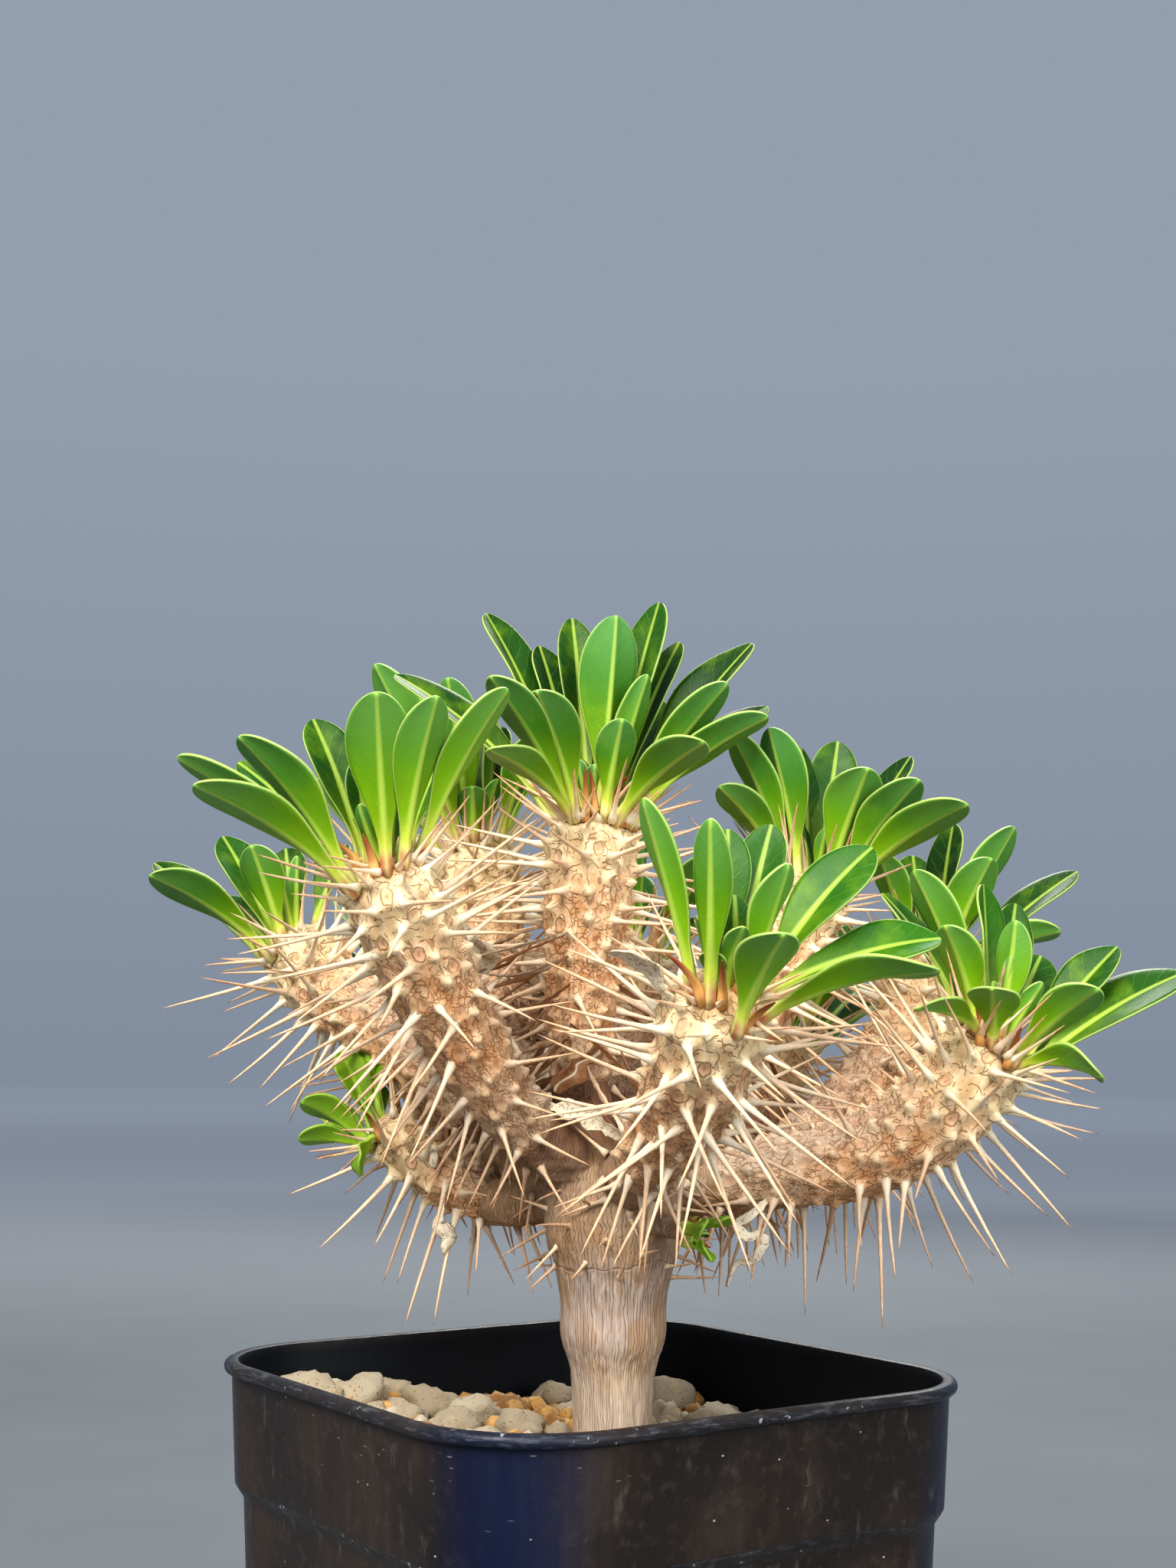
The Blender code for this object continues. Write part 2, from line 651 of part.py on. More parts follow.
def shape_of(made):
    """An object's surface in millimetres, as points and faces."""
    return [v.co / MM for v in made.data.vertices], [tuple(f.vertices) for f in made.data.polygons]


def make_plant(turned):
    stems = {b.name: smooth_stem([HEAD] + b.path) for b in BRANCHES}
    rosettes = {b.name: rosette_pieces(b, stems[b.name]) for b in BRANCHES}

    trunk = make_trunk()
    stubs = [stem_tube("limb", stems[b.name], 2, min(b.split, stems[b.name].length), b.radii) for b in BRANCHES]
    combine(trunk, stubs)
    tubes = {}
    for branch in BRANCHES:
        stem = stems[branch.name]
        if branch.split < stem.length:
            tubes[branch.name] = stem_tube(
                "branch_" + branch.name, stem, branch.split + GAP, stem.length, branch.radii)

    surfaces = {"trunk": [shape_of(trunk)]}
    surfaces.update({made.name: [shape_of(made)] for made in tubes.values()})
    surfaces.update({"rosette_" + name: pieces for name, pieces in rosettes.items()})
    trees = {name: tree_of(pieces) for name, pieces in surfaces.items()}

    for seed, branch in enumerate(BRANCHES):
        if branch.name not in tubes:
            continue
        made = tubes[branch.name]
        stem = stems[branch.name]
        places = spine_places(stem, branch.split + 3, stem.length - 0.6, branch.radii, seed)
        others = [tree for name, tree in trees.items() if name != made.name]
        needles = grow_spines(places, others)
        surfaces[made.name] += needles
        trees[made.name] = tree_of(surfaces[made.name])
        combine(made, [solid("spine", *shape) for shape in needles])
        finish(made, STEM_IVORY, 0.8, turned)

    combine(trunk, [solid("spine", *shape) for shape in trunk_spines(trees)])
    finish(trunk, BARK_TAN, 0.85, turned)

    for name, pieces in rosettes.items():
        dome = solid("rosette_" + name, *pieces[0])
        combine(dome, [solid("leaf", *shape) for shape in pieces[1:]])
        finish(dome, LEAF_GREEN, 0.45, turned)


def make_trunk():
    points = []
    for height, radius in TRUNK_PROFILE:
        for k in range(TRUNK_SIDES):
            turn = math.tau * k / TRUNK_SIDES
            across = TRUNK_MIDDLE[0] + radius * math.cos(turn)
            points.append((across, TRUNK_MIDDLE[1] + radius * math.sin(turn), height))
    return solid("trunk", points, rings_to_faces(len(TRUNK_PROFILE), TRUNK_SIDES))


def trunk_spines(trees):
    """Short old spines round the trunk's neck."""
    neck_low, neck_high, count = 126.0, 137.0, 18
    draw = random.Random(5)
    heights, radii = zip(*TRUNK_PROFILE)
    places = []
    for k in range(count):
        height = neck_low + (neck_high - neck_low) * (k + 0.5) / count
        turn = k * GOLDEN_TURN
        outward = np.array((math.cos(turn), math.sin(turn), 0))
        lean = math.radians(draw.uniform(-35, 20))
        aim = outward * math.cos(lean) + np.array((0, 0, 1)) * math.sin(lean)
        radius = np.interp(height, heights, radii) * math.cos(math.pi / TRUNK_SIDES)
        surface = np.array((*TRUNK_MIDDLE, height)) + outward * radius
        places.append((surface, aim, np.array((0, 0, 1.0)), draw.uniform(6, 10)))
    return grow_spines(places, [tree for name, tree in trees.items() if name != "trunk"])


def make_all():
    clear_scene()
    turned = bpy.data.objects.new("plant_frame", None)
    bpy.context.collection.objects.link(turned)
    turned.rotation_euler.z = math.radians(PLANT_TURN)
    make_pot()
    make_soil()
    make_gravel()
    make_plant(turned)
    bpy.context.view_layer.update()


make_all()
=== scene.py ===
"""Looks of the potted euphorbia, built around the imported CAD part.

The plant is laid out as in the part's source: millimetres, in its own frame (right, away,
up), with the same branches and leaves. to_row() turns it about the upright axis and scales it
to metres. Fine pieces replace the CAD nodes: skin with leaf scars and paired spines, leaves
with ribs and veins, fissured bark, loose stones and a moulded pot.
"""

import json
import math
import random
from collections import namedtuple

import bmesh
import bpy
import numpy as np
from mathutils import Matrix, Vector, noise
from mathutils.bvhtree import BVHTree
from mathutils.kdtree import KDTree

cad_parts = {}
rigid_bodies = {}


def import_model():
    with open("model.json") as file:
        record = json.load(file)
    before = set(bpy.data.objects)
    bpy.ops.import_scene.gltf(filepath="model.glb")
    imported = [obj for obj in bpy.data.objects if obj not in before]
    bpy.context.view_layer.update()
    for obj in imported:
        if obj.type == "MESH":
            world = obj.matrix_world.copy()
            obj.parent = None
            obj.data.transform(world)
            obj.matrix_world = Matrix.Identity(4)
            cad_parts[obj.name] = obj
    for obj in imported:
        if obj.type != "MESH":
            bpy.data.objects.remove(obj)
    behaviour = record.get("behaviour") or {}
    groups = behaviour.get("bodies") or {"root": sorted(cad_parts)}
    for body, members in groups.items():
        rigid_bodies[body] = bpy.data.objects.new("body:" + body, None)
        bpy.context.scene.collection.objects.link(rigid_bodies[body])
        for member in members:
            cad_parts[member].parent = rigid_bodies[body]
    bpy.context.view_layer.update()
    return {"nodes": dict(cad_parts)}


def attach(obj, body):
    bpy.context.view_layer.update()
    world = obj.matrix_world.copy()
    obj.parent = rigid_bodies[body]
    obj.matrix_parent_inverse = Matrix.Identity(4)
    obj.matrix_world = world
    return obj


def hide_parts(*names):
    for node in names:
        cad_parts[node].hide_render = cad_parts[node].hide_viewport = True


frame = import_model()

MM = 0.001
PLANT_TURN = -35.0
GOLDEN_TURN = math.radians(137.5)
UP = np.array((0.0, 0.0, 1.0))
AWAY = np.array((0.0, 1.0, 0.0))

# The pot, as in the part's source
POT_SIDE = 105.0
POT_HEIGHT = 110.0
POT_CORNER = 23.0
POT_WALL = 1.3
POT_FLOOR = 2.0
LIP_DEPTH = 2.2
LIP_REACH = 1.4
LIP_THICKNESS = 2.6
UNDER_LIP = POT_HEIGHT - LIP_DEPTH
BAND_TAPER = 0.065
STEP_TOP = 89.0
STEP_DROP = 2.3
STEP_BOTTOM = STEP_TOP - STEP_DROP
STEP_IN = 1.6
LOWER_TAPER = 0.065
FOOT_CHAMFER = 1.2
DRAIN_RADIUS = 4.5
DRAIN_PLACE = 26.0
SOIL_TOP = 90.5
GRAVEL_BED = 94.2
CORNER_STEPS = 18
SIDE_STEPS = 12

# The gravel: above which radius a stone is big, how far the middles of loose ones stay from the
# trunk's, how far the seen ones are sunk and how much wider they are than what shows
BIG_STONE = 2.6
TRUNK_CLEARANCE = 7.2
SEEN_SUNK = 1.7
SEEN_WIDENED = 1.42
# Layers of loose stones: the pitch of their grid, the least and the largest radius, the height
# of their middles, how fine their balls are, and how flat they lie
STONE_LAYERS = [(9.4, 3.8, 5.6, 95.0, 3, 0.8), (4.6, 1.7, 2.9, 95.4, 2, 0.9)]
# The rings of the bed, as parts of its edge
BED_RINGS = [1, 0.97, 0.9, 0.8, 0.7, 0.6, 0.5, 0.4, 0.3, 0.2, 0.1, 0.03]

# The trunk, near the part's source but with a sharper ring
ROOT_DEPTH = 44.0
TRUNK_MIDDLE = (5.4, 0.0)
TRUNK_PROFILE = [
    (ROOT_DEPTH, 6.0), (97.0, 6.8), (106.0, 7.1), (110.5, 7.5), (113.0, 8.7), (115.5, 9.6),
    (118.4, 9.0), (123.0, 9.5), (128.0, 10.8), (132.5, 12.1), (138.5, 12.3), (144.0, 10.2),
    (148.0, 6.0),
]
HEAD = (4, 2, 141)
TRUNK_SIDES = 48
LIMB_SIDES = 32
LIMB_START = 11.0
LIMB_SITE_PITCH = 1.6
BARK_VOXEL = 0.55
# The spines round its neck: the lowest, the highest, and how many
NECK_SPINES = (125.0, 141.0, 34)

# Stems and spines
TIP_ROUNDING = 3.0
CAP_ARC = 9.0
CAP_HEIGHT = 3.8
SKIN_STEP = 0.5
SKIN_SIDES = 104
SKIN_THINNED = 1.5
OLD_SKIN_THINNED = 1.0
# Ages run from 0 at a stem's tip to 1 this far below it, and a young spine's is under 0
AGE_RUN = 45.0
YOUNG = -0.6
# A growth site: how much skin it takes, how far its swelling reaches across and along, how far
# its spines stand from its middle line and below its middle, and the distance where skin has no
# scar near
SITE_AREA = 46.0
SITE_HALF_WIDTH = 9
SITE_HALF_HEIGHT = 11
SPINE_APART = 2.5
SPINE_DROP = 0.4
NO_SCAR = 9.0
SPINE_LENGTH = 20.0
OLD_SPINE_LENGTH = 9.0
SPINE_SIDES = 6
# The spines' material is the second one of every piece that has spines
HORN = 1
# Along a spine: the part of its length and its radius in millimetres
SPINE_PROFILE = [
    (-0.06, 1.0), (0.04, 0.76), (0.11, 0.5), (0.32, 0.38), (0.6, 0.29), (0.85, 0.17), (1.0, 0.03),
]
# The ways a spine may bend to miss its neighbours, in degrees along its stem and round it
BENDS = [(0, 0), (16, 0), (-16, 0), (0, 16), (0, -16), (32, 0), (-32, 0), (0, 32), (0, -32)]

# Leaves
LEAF_FOLD = 27.0
LEAF_BOW = 0.3
LEAF_TURN = 0.6
CROWN_UPRIGHT = 2.0
LEAF_ROOT_HALF_WIDTH = 1.15
LEAF_LEAST_HALF_WIDTH = 0.08
LEAF_SUNK = 1.6
LEAF_ROWS = 24
LEAF_COLUMNS = 13
# A leaf's green goes from dark at 0 to light at 1, and is lime far below 0. These are the least
# and the most of it in front, behind and on the sprout; the darker range behind is painted shade.
# Above 1 a leaf is a red bract
NEAR_TINTS = (0.3, 1.0)
FAR_PAINTED_SHADE_TINTS = (-0.1, 0.6)
SPROUT_TINTS = (-0.8, -0.4)
BRACT_TINT = 2.0
YOUNG_LEAVES = 5
SPROUT_YOUNG_LEAVES = 2
# Withered strips have no rib, so all of a strip is this far from one
OFF_RIB = 3.0

# The stage, in the plant frame: where the lamps point, and where the floor is darkest
LIT_POINT = (0, 0, 170)
DARKEST_FLOOR = (200, -200, 0)
FLOOR_REACH = 12.0

Branch = namedtuple("Branch", "name split radii path leaves core", defaults=(6.0,))
Stem = namedtuple("Stem", "centres forwards sides ups length radii")
# A part of a piece: points in the plant frame, lists of faces, its data, and which material
Patch = namedtuple("Patch", "points faces data paint", defaults=(0,))

# Each branch, as in the part's source but for closer leaves at low_left, narrower ones at front
# and right, and four more at top and upper_back: how far along it leaves the trunk's own solid,
# its radius at both ends, the points that its middle runs through from the trunk's head, and
# its leaves. A leaf is the place of its tip, seen from the branch's tip (right, away, up), and
# its width laid flat. The last number, if any, is the reach of its youngest leaves.
BRANCHES = [Branch(*row) for row in (
    ("left_front", 20, (6.3, 9.0),
     [(-3, -5, 146), (-14, -12, 156), (-21, -18, 167), (-27, -24, 178), (-31, -28, 187), (-33, -31, 193)],
     [(-28, -23, 12, 11), (-35, -4, 19, 9.5), (-22, -17, 21, 10.5), (-27, 7, 20, 8.5), (-13, 1, 27, 10),
      (-1, -17, 28, 12), (8, -14, 28, 10), (19, -6, 31, 10.5), (7, 9, 21, 8.5), (-12, 15, 22, 9),
      (-5, -4, 19, 6)]),
    ("top", 20, (6.0, 9.2),
     [(0, 5, 152), (-1, 5, 168), (0, 4, 187), (1, 4, 206)],
     [(-10, -21, 22, 11), (-18, -27, 23, 9), (-20, 4, 42, 12), (-10, 6, 36, 10), (-4, 8, 42, 10),
      (4, -5, 39, 13), (12, 4, 44, 12), (16, 10, 38, 9), (30, 4, 36, 14), (33, 9, 26, 10),
      (24, -12, 25, 9.5), (31, -12, 20, 9.5), (19, -24, 12, 10.5), (5, -13, 18, 8), (9, -5, 28, 7),
      (-15, 13, 28, 9.5), (-18, -28, 10, 8), (-3, 21, 28, 10.5), (13, 20, 28, 10.5), (-38, 8, 31, 11)]),
    ("front", 21, (6.3, 9.2),
     [(8, -10, 143), (13, -27, 150), (18, -43, 161), (20, -53, 172)],
     [(-12, -15, 29, 6.8), (-2, -16, 26, 6.8), (2, 2, 27, 8), (9, 5, 28, 9), (10, -11, 20, 8.5),
      (24, 2, 25, 11), (8, -21, 9.5, 10), (30, -22, 4, 10), (35, 3, 10, 10), (3, -3, 16, 5.5)]),
    ("upper_right", 21, (6.2, 9.0),
     [(15, 8, 149), (27, 14, 167), (37, 18, 183), (43, 20, 195)],
     [(-8, -5, 32, 11), (-15, -4, 31, 9.5), (-18, -11, 20, 9.5), (-10, 7, 31, 8), (0, 4, 30, 9),
      (7, 8, 32, 11), (9, -16, 23, 12), (20, 2, 28, 10.5), (18, -18, 21, 10.5), (26, -24, 16, 10.5),
      (-14, 15, 21, 9.5), (1, 18, 24, 9.5)]),
    ("right", 22, (6.3, 9.0),
     [(15, 0, 141), (30, -4, 143), (49, -6, 147), (62, -8, 155), (71, -8, 165)],
     [(-17, 5, 29, 8), (-13, -3, 32, 10), (-9, -11, 22, 9), (0, 3, 30, 10), (7, 8, 27, 9),
      (5, -4, 23, 7), (-3, -18, 11, 9.5), (25, 6, 19, 10), (14, -21, 11, 9.5), (36, 3, 15, 12.5),
      (14, -21, -4, 9.5), (-15, -16, 7, 8.5), (14, 17, 19, 10.5), (-5, 17, 20, 9.5), (24, 17, 8, 9.5)]),
    ("right_back", 24, (6.0, 8.6),
     [(18, 8, 138), (38, 20, 145), (57, 29, 159), (65, 34, 171), (68, 36, 181)],
     [(6, 3, 31, 10.5), (17, -2, 30, 11), (11, -9, 23, 11), (31, 0, 21, 11), (25, -9, 9, 9),
      (1, 17, 26, 10.5), (15, 17, 22, 10.5), (27, 12, 11, 9.5), (-9, -3, 24, 8.5)]),
    ("left_back", 30, (6.0, 8.4),
     [(-9, 7, 145), (-27, 16, 160), (-41, 25, 171), (-51, 30, 177), (-57, 31, 185)],
     [(-26, -17, 13, 10.5), (-30, 2, 16, 10), (-17, 7, 23, 10), (-8, -11, 19, 9), (-21, 19, 11, 9.5),
      (-6, 18, 21, 9.5), (8, 8, 21, 9.5)]),
    ("upper_back", 30, (6.0, 8.8),
     [(-5, 12, 150), (-14, 25, 168), (-20, 33, 187), (-22, 36, 204)],
     [(-21, -10, 37, 11), (-6, -8, 35, 10.5), (-12, -18, 25, 9), (2, 0, 35, 10), (-17, 12, 29, 10.5),
      (-1, 15, 33, 10.5), (15, 12, 27, 10.5), (-25, 3, 21, 10), (12, -6, 24, 9),
      (3, 6, 28, 10), (-10, -6, 18, 8), (-1, -8, 13, 7)]),
    ("back_left", 30, (6.0, 8.4),
     [(-8, 18, 143), (-20, 35, 149), (-32, 50, 160), (-37, 60, 174)],
     [(-22, 14, 14, 10.5), (-12, -7, 27, 10.5), (-17, 3, 24, 10.5), (-8, 21, 17, 10.5), (7, 16, 22, 10.5),
      (4, 2, 28, 10), (-24, -4, 13, 10)]),
    ("back", 28, (6.0, 8.6),
     [(4, 16, 147), (8, 32, 158), (10, 46, 170), (9, 57, 184)],
     [(-14, 17, 20, 10.5), (2, 22, 21, 11), (16, 15, 20, 10.5), (18, -1, 23, 10.5), (-13, -2, 26, 10.5),
      (3, 5, 30, 10.5), (22, 7, 11, 10), (-21, 6, 11, 10)]),
    ("back_right", 28, (6.0, 8.4),
     [(9, 14, 139), (20, 33, 143), (33, 49, 152), (41, 61, 166)],
     [(20, 15, 15, 10.5), (4, 22, 18, 10.5), (16, -3, 26, 10.5), (2, 3, 29, 10.5), (-12, 13, 21, 10.5),
      (-16, -1, 17, 10), (25, 2, 12, 10.5)]),
    ("low_left", 25, (5.0, 5.6),
     [(-15, 11, 137), (-29, 14, 143), (-37, 15, 150)],
     [(-16, -3, -2, 7), (-15, -6, 6, 8), (-9, 2, 14.5, 8), (-6, 5, 18, 8), (-4.5, -8, -8, 8),
      (-4, 7, 8, 6.5), (-13, 7, 3, 7)], 4.0),
    ("bud", 99, (3.4, 2.6),
     [(11, -8, 136), (18, -16, 134)],
     [(7, -2, 3, 4), (2, -7, 2, 4), (4, -5, -3, 4)], 1.9),
)]


# The stones that show above the pot's rim: place in the plant frame, radius, and 1 if of clay
SEEN_STONES = [
    ((-50.2, 14, 103.9), 4.3, 0), ((-41.2, 18, 102.5), 5.1, 0), ((-37.6, 12, 101.3), 1.6, 0),
    ((-28.7, 24, 99.5), 4.7, 0), ((-20.2, 22, 99.0), 3.6, 0), ((-22.2, 12, 99.2), 3.0, 0),
    ((-11.3, 14, 97.9), 4.0, 0), ((-4.8, 12, 97.1), 2.8, 0), ((-4.8, 40, 99.7), 2.0, 0),
    ((16.8, 44, 99.3), 3.7, 0), ((15.9, 30, 97.6), 3.2, 0), ((18.8, 27, 97.4), 1.6, 0),
    ((26.5, 30, 97.8), 3.1, 0), ((22.2, 24, 97.3), 2.8, 0),
    ((-36.0, 14, 101.0), 1.7, 1), ((-33.8, 14, 100.4), 1.7, 1), ((-32.0, 13, 99.6), 1.6, 1),
    ((-30.2, 12, 98.9), 1.5, 1), ((-16.2, 34, 98.5), 2.2, 1), ((-13.3, 30, 97.9), 2.6, 1),
    ((-11.1, 32, 98.1), 2.0, 1), ((-6.5, 28, 97.4), 2.4, 1), ((-8.6, 34, 98.4), 1.9, 1),
    ((-15.7, 16, 98.1), 1.8, 1), ((-4.9, 20, 97.4), 2.0, 1),
]
# Withered leaves: where each is held, its tip, the way it faces, its width and how pale it is
OLD_LEAVES = [
    ((15, -54, 172), (4, -57, 180), (0.2, -0.5, 0.9), 8.5, 0.75),
    ((-21, -18, 188), (-17, -15, 177), (0.2, -1.0, 0.1), 8.0, 0.7),
    ((-12, 20, 186), (-7, 14, 176), (0.1, -1.0, 0.4), 8.0, 0.3),
    ((-15, 22, 176), (-9, 12, 168), (0.4, -0.9, 0.3), 7.0, 0.1),
    ((2, 0, 165), (-5, -6, 158), (0.4, -0.9, 0.3), 5.0, 0.0),
]
# White shreds: the points each runs through, from what holds it, and its width
SHREDS = [
    ([(-17, -14, 170), (-14.5, -15, 168.5), (-12.8, -15, 165.5), (-11.5, -14, 160.5)], 3.2),
    ([(-26, 9, 137), (-27, 7, 133), (-24.2, 7, 131.5), (-25.2, 7, 128)], 3.0),
    ([(-29, 9, 148.5), (-28, 8, 146.5), (-27.5, 7, 143.5)], 2.2),
    ([(-4, -12, 156.5), (-0.5, -13, 154), (3, -13, 152), (7, -13, 150)], 3.4),
    ([(31.5, -9, 139), (28.5, -12, 137), (26, -12, 135.5), (28, -12, 133), (30.5, -12, 133.5),
      (29.3, -12, 130), (26, -12, 129), (24.5, -12, 125)], 2.2),
]
# Straw caught between two stems: between which parts of their length, and how many bits
STRAW = [
    ("left_front", "top", 0.4, 0.8, 14),
    ("upper_back", "top", 0.4, 0.85, 12),
    ("top", "front", 0.35, 0.6, 4),
    ("upper_right", "top", 0.4, 0.7, 5),
    ("low_left", "left_back", 0.5, 0.8, 4),
    ("right", "right_back", 0.35, 0.75, 10),
    ("upper_right", "right_back", 0.3, 0.7, 6),
]


def colour(text):
    """A colour written as six hex digits, in linear light."""
    found = []
    for start in (0, 2, 4):
        value = int(text[start:start + 2], 16) / 255
        found.append(value / 12.92 if value <= 0.04045 else ((value + 0.055) / 1.055) ** 2.4)
    return (*found, 1.0)


# Meshes


def unit(vectors):
    vectors = np.asarray(vectors, float)
    return vectors / np.maximum(np.linalg.norm(vectors, axis=-1, keepdims=True), 1e-6)


def smooth(value, low, high):
    """0 below low, 1 above high, and an even ease between them."""
    part = np.clip((value - low) / (high - low), 0, 1)
    return part * part * (3 - 2 * part)


def to_row(points):
    """Points of the plant frame, in millimetres, as points of the row frame, in metres."""
    turn = math.radians(PLANT_TURN)
    cosine, sine = math.cos(turn), math.sin(turn)
    matrix = np.array(((cosine, -sine, 0), (sine, cosine, 0), (0, 0, 1)))
    return np.asarray(points, float) @ matrix.T * MM


def turned(place):
    """A place of the plant frame, turned to the row frame but still in millimetres."""
    return to_row([place])[0] / MM


def ring_turns(count):
    """Even turns round a ring, in radians."""
    return np.arange(count) * math.tau / count


def wobble(points, scale, octaves=3, shift=(0, 0, 0)):
    """Smooth noise about zero at each point."""
    shift = Vector(shift)
    return np.array([noise.fractal(Vector(p) * scale + shift, 1.0, 2.0, octaves) for p in points])


def grid_faces(rows, columns):
    """Quads between rows of equal length, each of which closes on itself."""
    low = np.arange(rows - 1)[:, None] * columns
    here = np.arange(columns)
    after = np.roll(here, -1)
    quads = np.stack([low + here, low + after, low + columns + after, low + columns + here], axis=-1)
    return quads.reshape(-1, 4)


def end_fan(first, columns, middle, reverse):
    """Triangles from a ring of points to a middle point."""
    here = first + np.arange(columns)
    fan = np.stack([np.roll(here, -1), here, np.full(columns, middle)], axis=-1)
    return fan[:, ::-1] if reverse else fan


def with_ends(rings):
    """The points of a tube's rings, then the middles of its first and its last."""
    return np.concatenate([rings.reshape(-1, 3), rings[0].mean(0)[None], rings[-1].mean(0)[None]])


def tube_patch(rings, data, paint=0):
    """A closed tube of rings (rows, columns, 3), with a fan at each end."""
    rows, columns = rings.shape[:2]
    count = rows * columns
    fans = [end_fan(0, columns, count, False), end_fan(count - columns, columns, count + 1, True)]
    full = {key: with_ends(values.reshape(rings.shape)) for key, values in data.items()}
    return Patch(with_ends(rings), [grid_faces(rows, columns), np.concatenate(fans)], full, paint)


def numbered(patches):
    """The runs of faces of some patches, counted through, each with its paint."""
    starts = np.cumsum([0] + [len(patch.points) for patch in patches])
    return [(faces + start, patch.paint) for patch, start in zip(patches, starts) for faces in patch.faces]


def points_and_faces(patches):
    """All points and faces of some patches, as plain lists."""
    faces = [face for run, _ in numbered(patches) for face in run.tolist()]
    return np.concatenate([patch.points for patch in patches]).tolist(), faces


def tree_of(patches):
    """A search tree over several patches, in the plant frame."""
    return BVHTree.FromPolygons(*points_and_faces(patches))


def add_object(name, data):
    made = bpy.data.objects.new(name, data)
    bpy.context.scene.collection.objects.link(made)
    return made


def bare_solid(name, patches):
    """A plain object with the patches' own numbers as its places."""
    mesh = bpy.data.meshes.new(name)
    points, faces = points_and_faces(patches)
    mesh.from_pydata(points, [], faces)
    return add_object(name, mesh)


def build(name, patches, materials, replaced=(), place=to_row):
    """One object from patches, riding on the root body."""
    runs = numbered(patches)
    corners = np.concatenate([faces.ravel() for faces, _ in runs]).astype(np.int32)
    sizes = np.concatenate([np.full(len(faces), faces.shape[1]) for faces, _ in runs]).astype(np.int32)
    paints = np.concatenate([np.full(len(faces), paint) for faces, paint in runs]).astype(np.int32)
    points = np.concatenate([patch.points for patch in patches])
    mesh = bpy.data.meshes.new(name)
    mesh.vertices.add(len(points))
    mesh.vertices.foreach_set("co", place(points).ravel())
    mesh.loops.add(len(corners))
    mesh.loops.foreach_set("vertex_index", corners)
    mesh.polygons.add(len(sizes))
    mesh.polygons.foreach_set("loop_start", np.cumsum(sizes, dtype=np.int32) - sizes)
    mesh.polygons.foreach_set("material_index", paints)
    mesh.update(calc_edges=True)
    for key in sorted({key for patch in patches for key in patch.data}):
        values = [patch.data.get(key, np.zeros((len(patch.points), 3))) for patch in patches]
        layer = mesh.attributes.new(key, "FLOAT_VECTOR", "POINT")
        layer.data.foreach_set("vector", np.concatenate(values).ravel().astype(np.float32))
    mesh.shade_smooth()
    for one in materials:
        mesh.materials.append(one)
    made = add_object(name, mesh)
    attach(made, "root")
    if replaced:
        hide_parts(*replaced)
    return made


# Node materials


class Value:
    """A socket of a node material, which takes part in sums."""

    def __init__(self, graph, socket):
        self.graph = graph
        self.socket = socket

    def __add__(self, other):
        return self.graph.math("ADD", self, other)

    def __sub__(self, other):
        return self.graph.math("SUBTRACT", self, other)

    def __rsub__(self, other):
        return self.graph.math("SUBTRACT", other, self)

    def __mul__(self, other):
        return self.graph.math("MULTIPLY", self, other)

    def __truediv__(self, other):
        return self.graph.math("DIVIDE", self, other)

    def __abs__(self):
        return self.graph.math("ABSOLUTE", self)


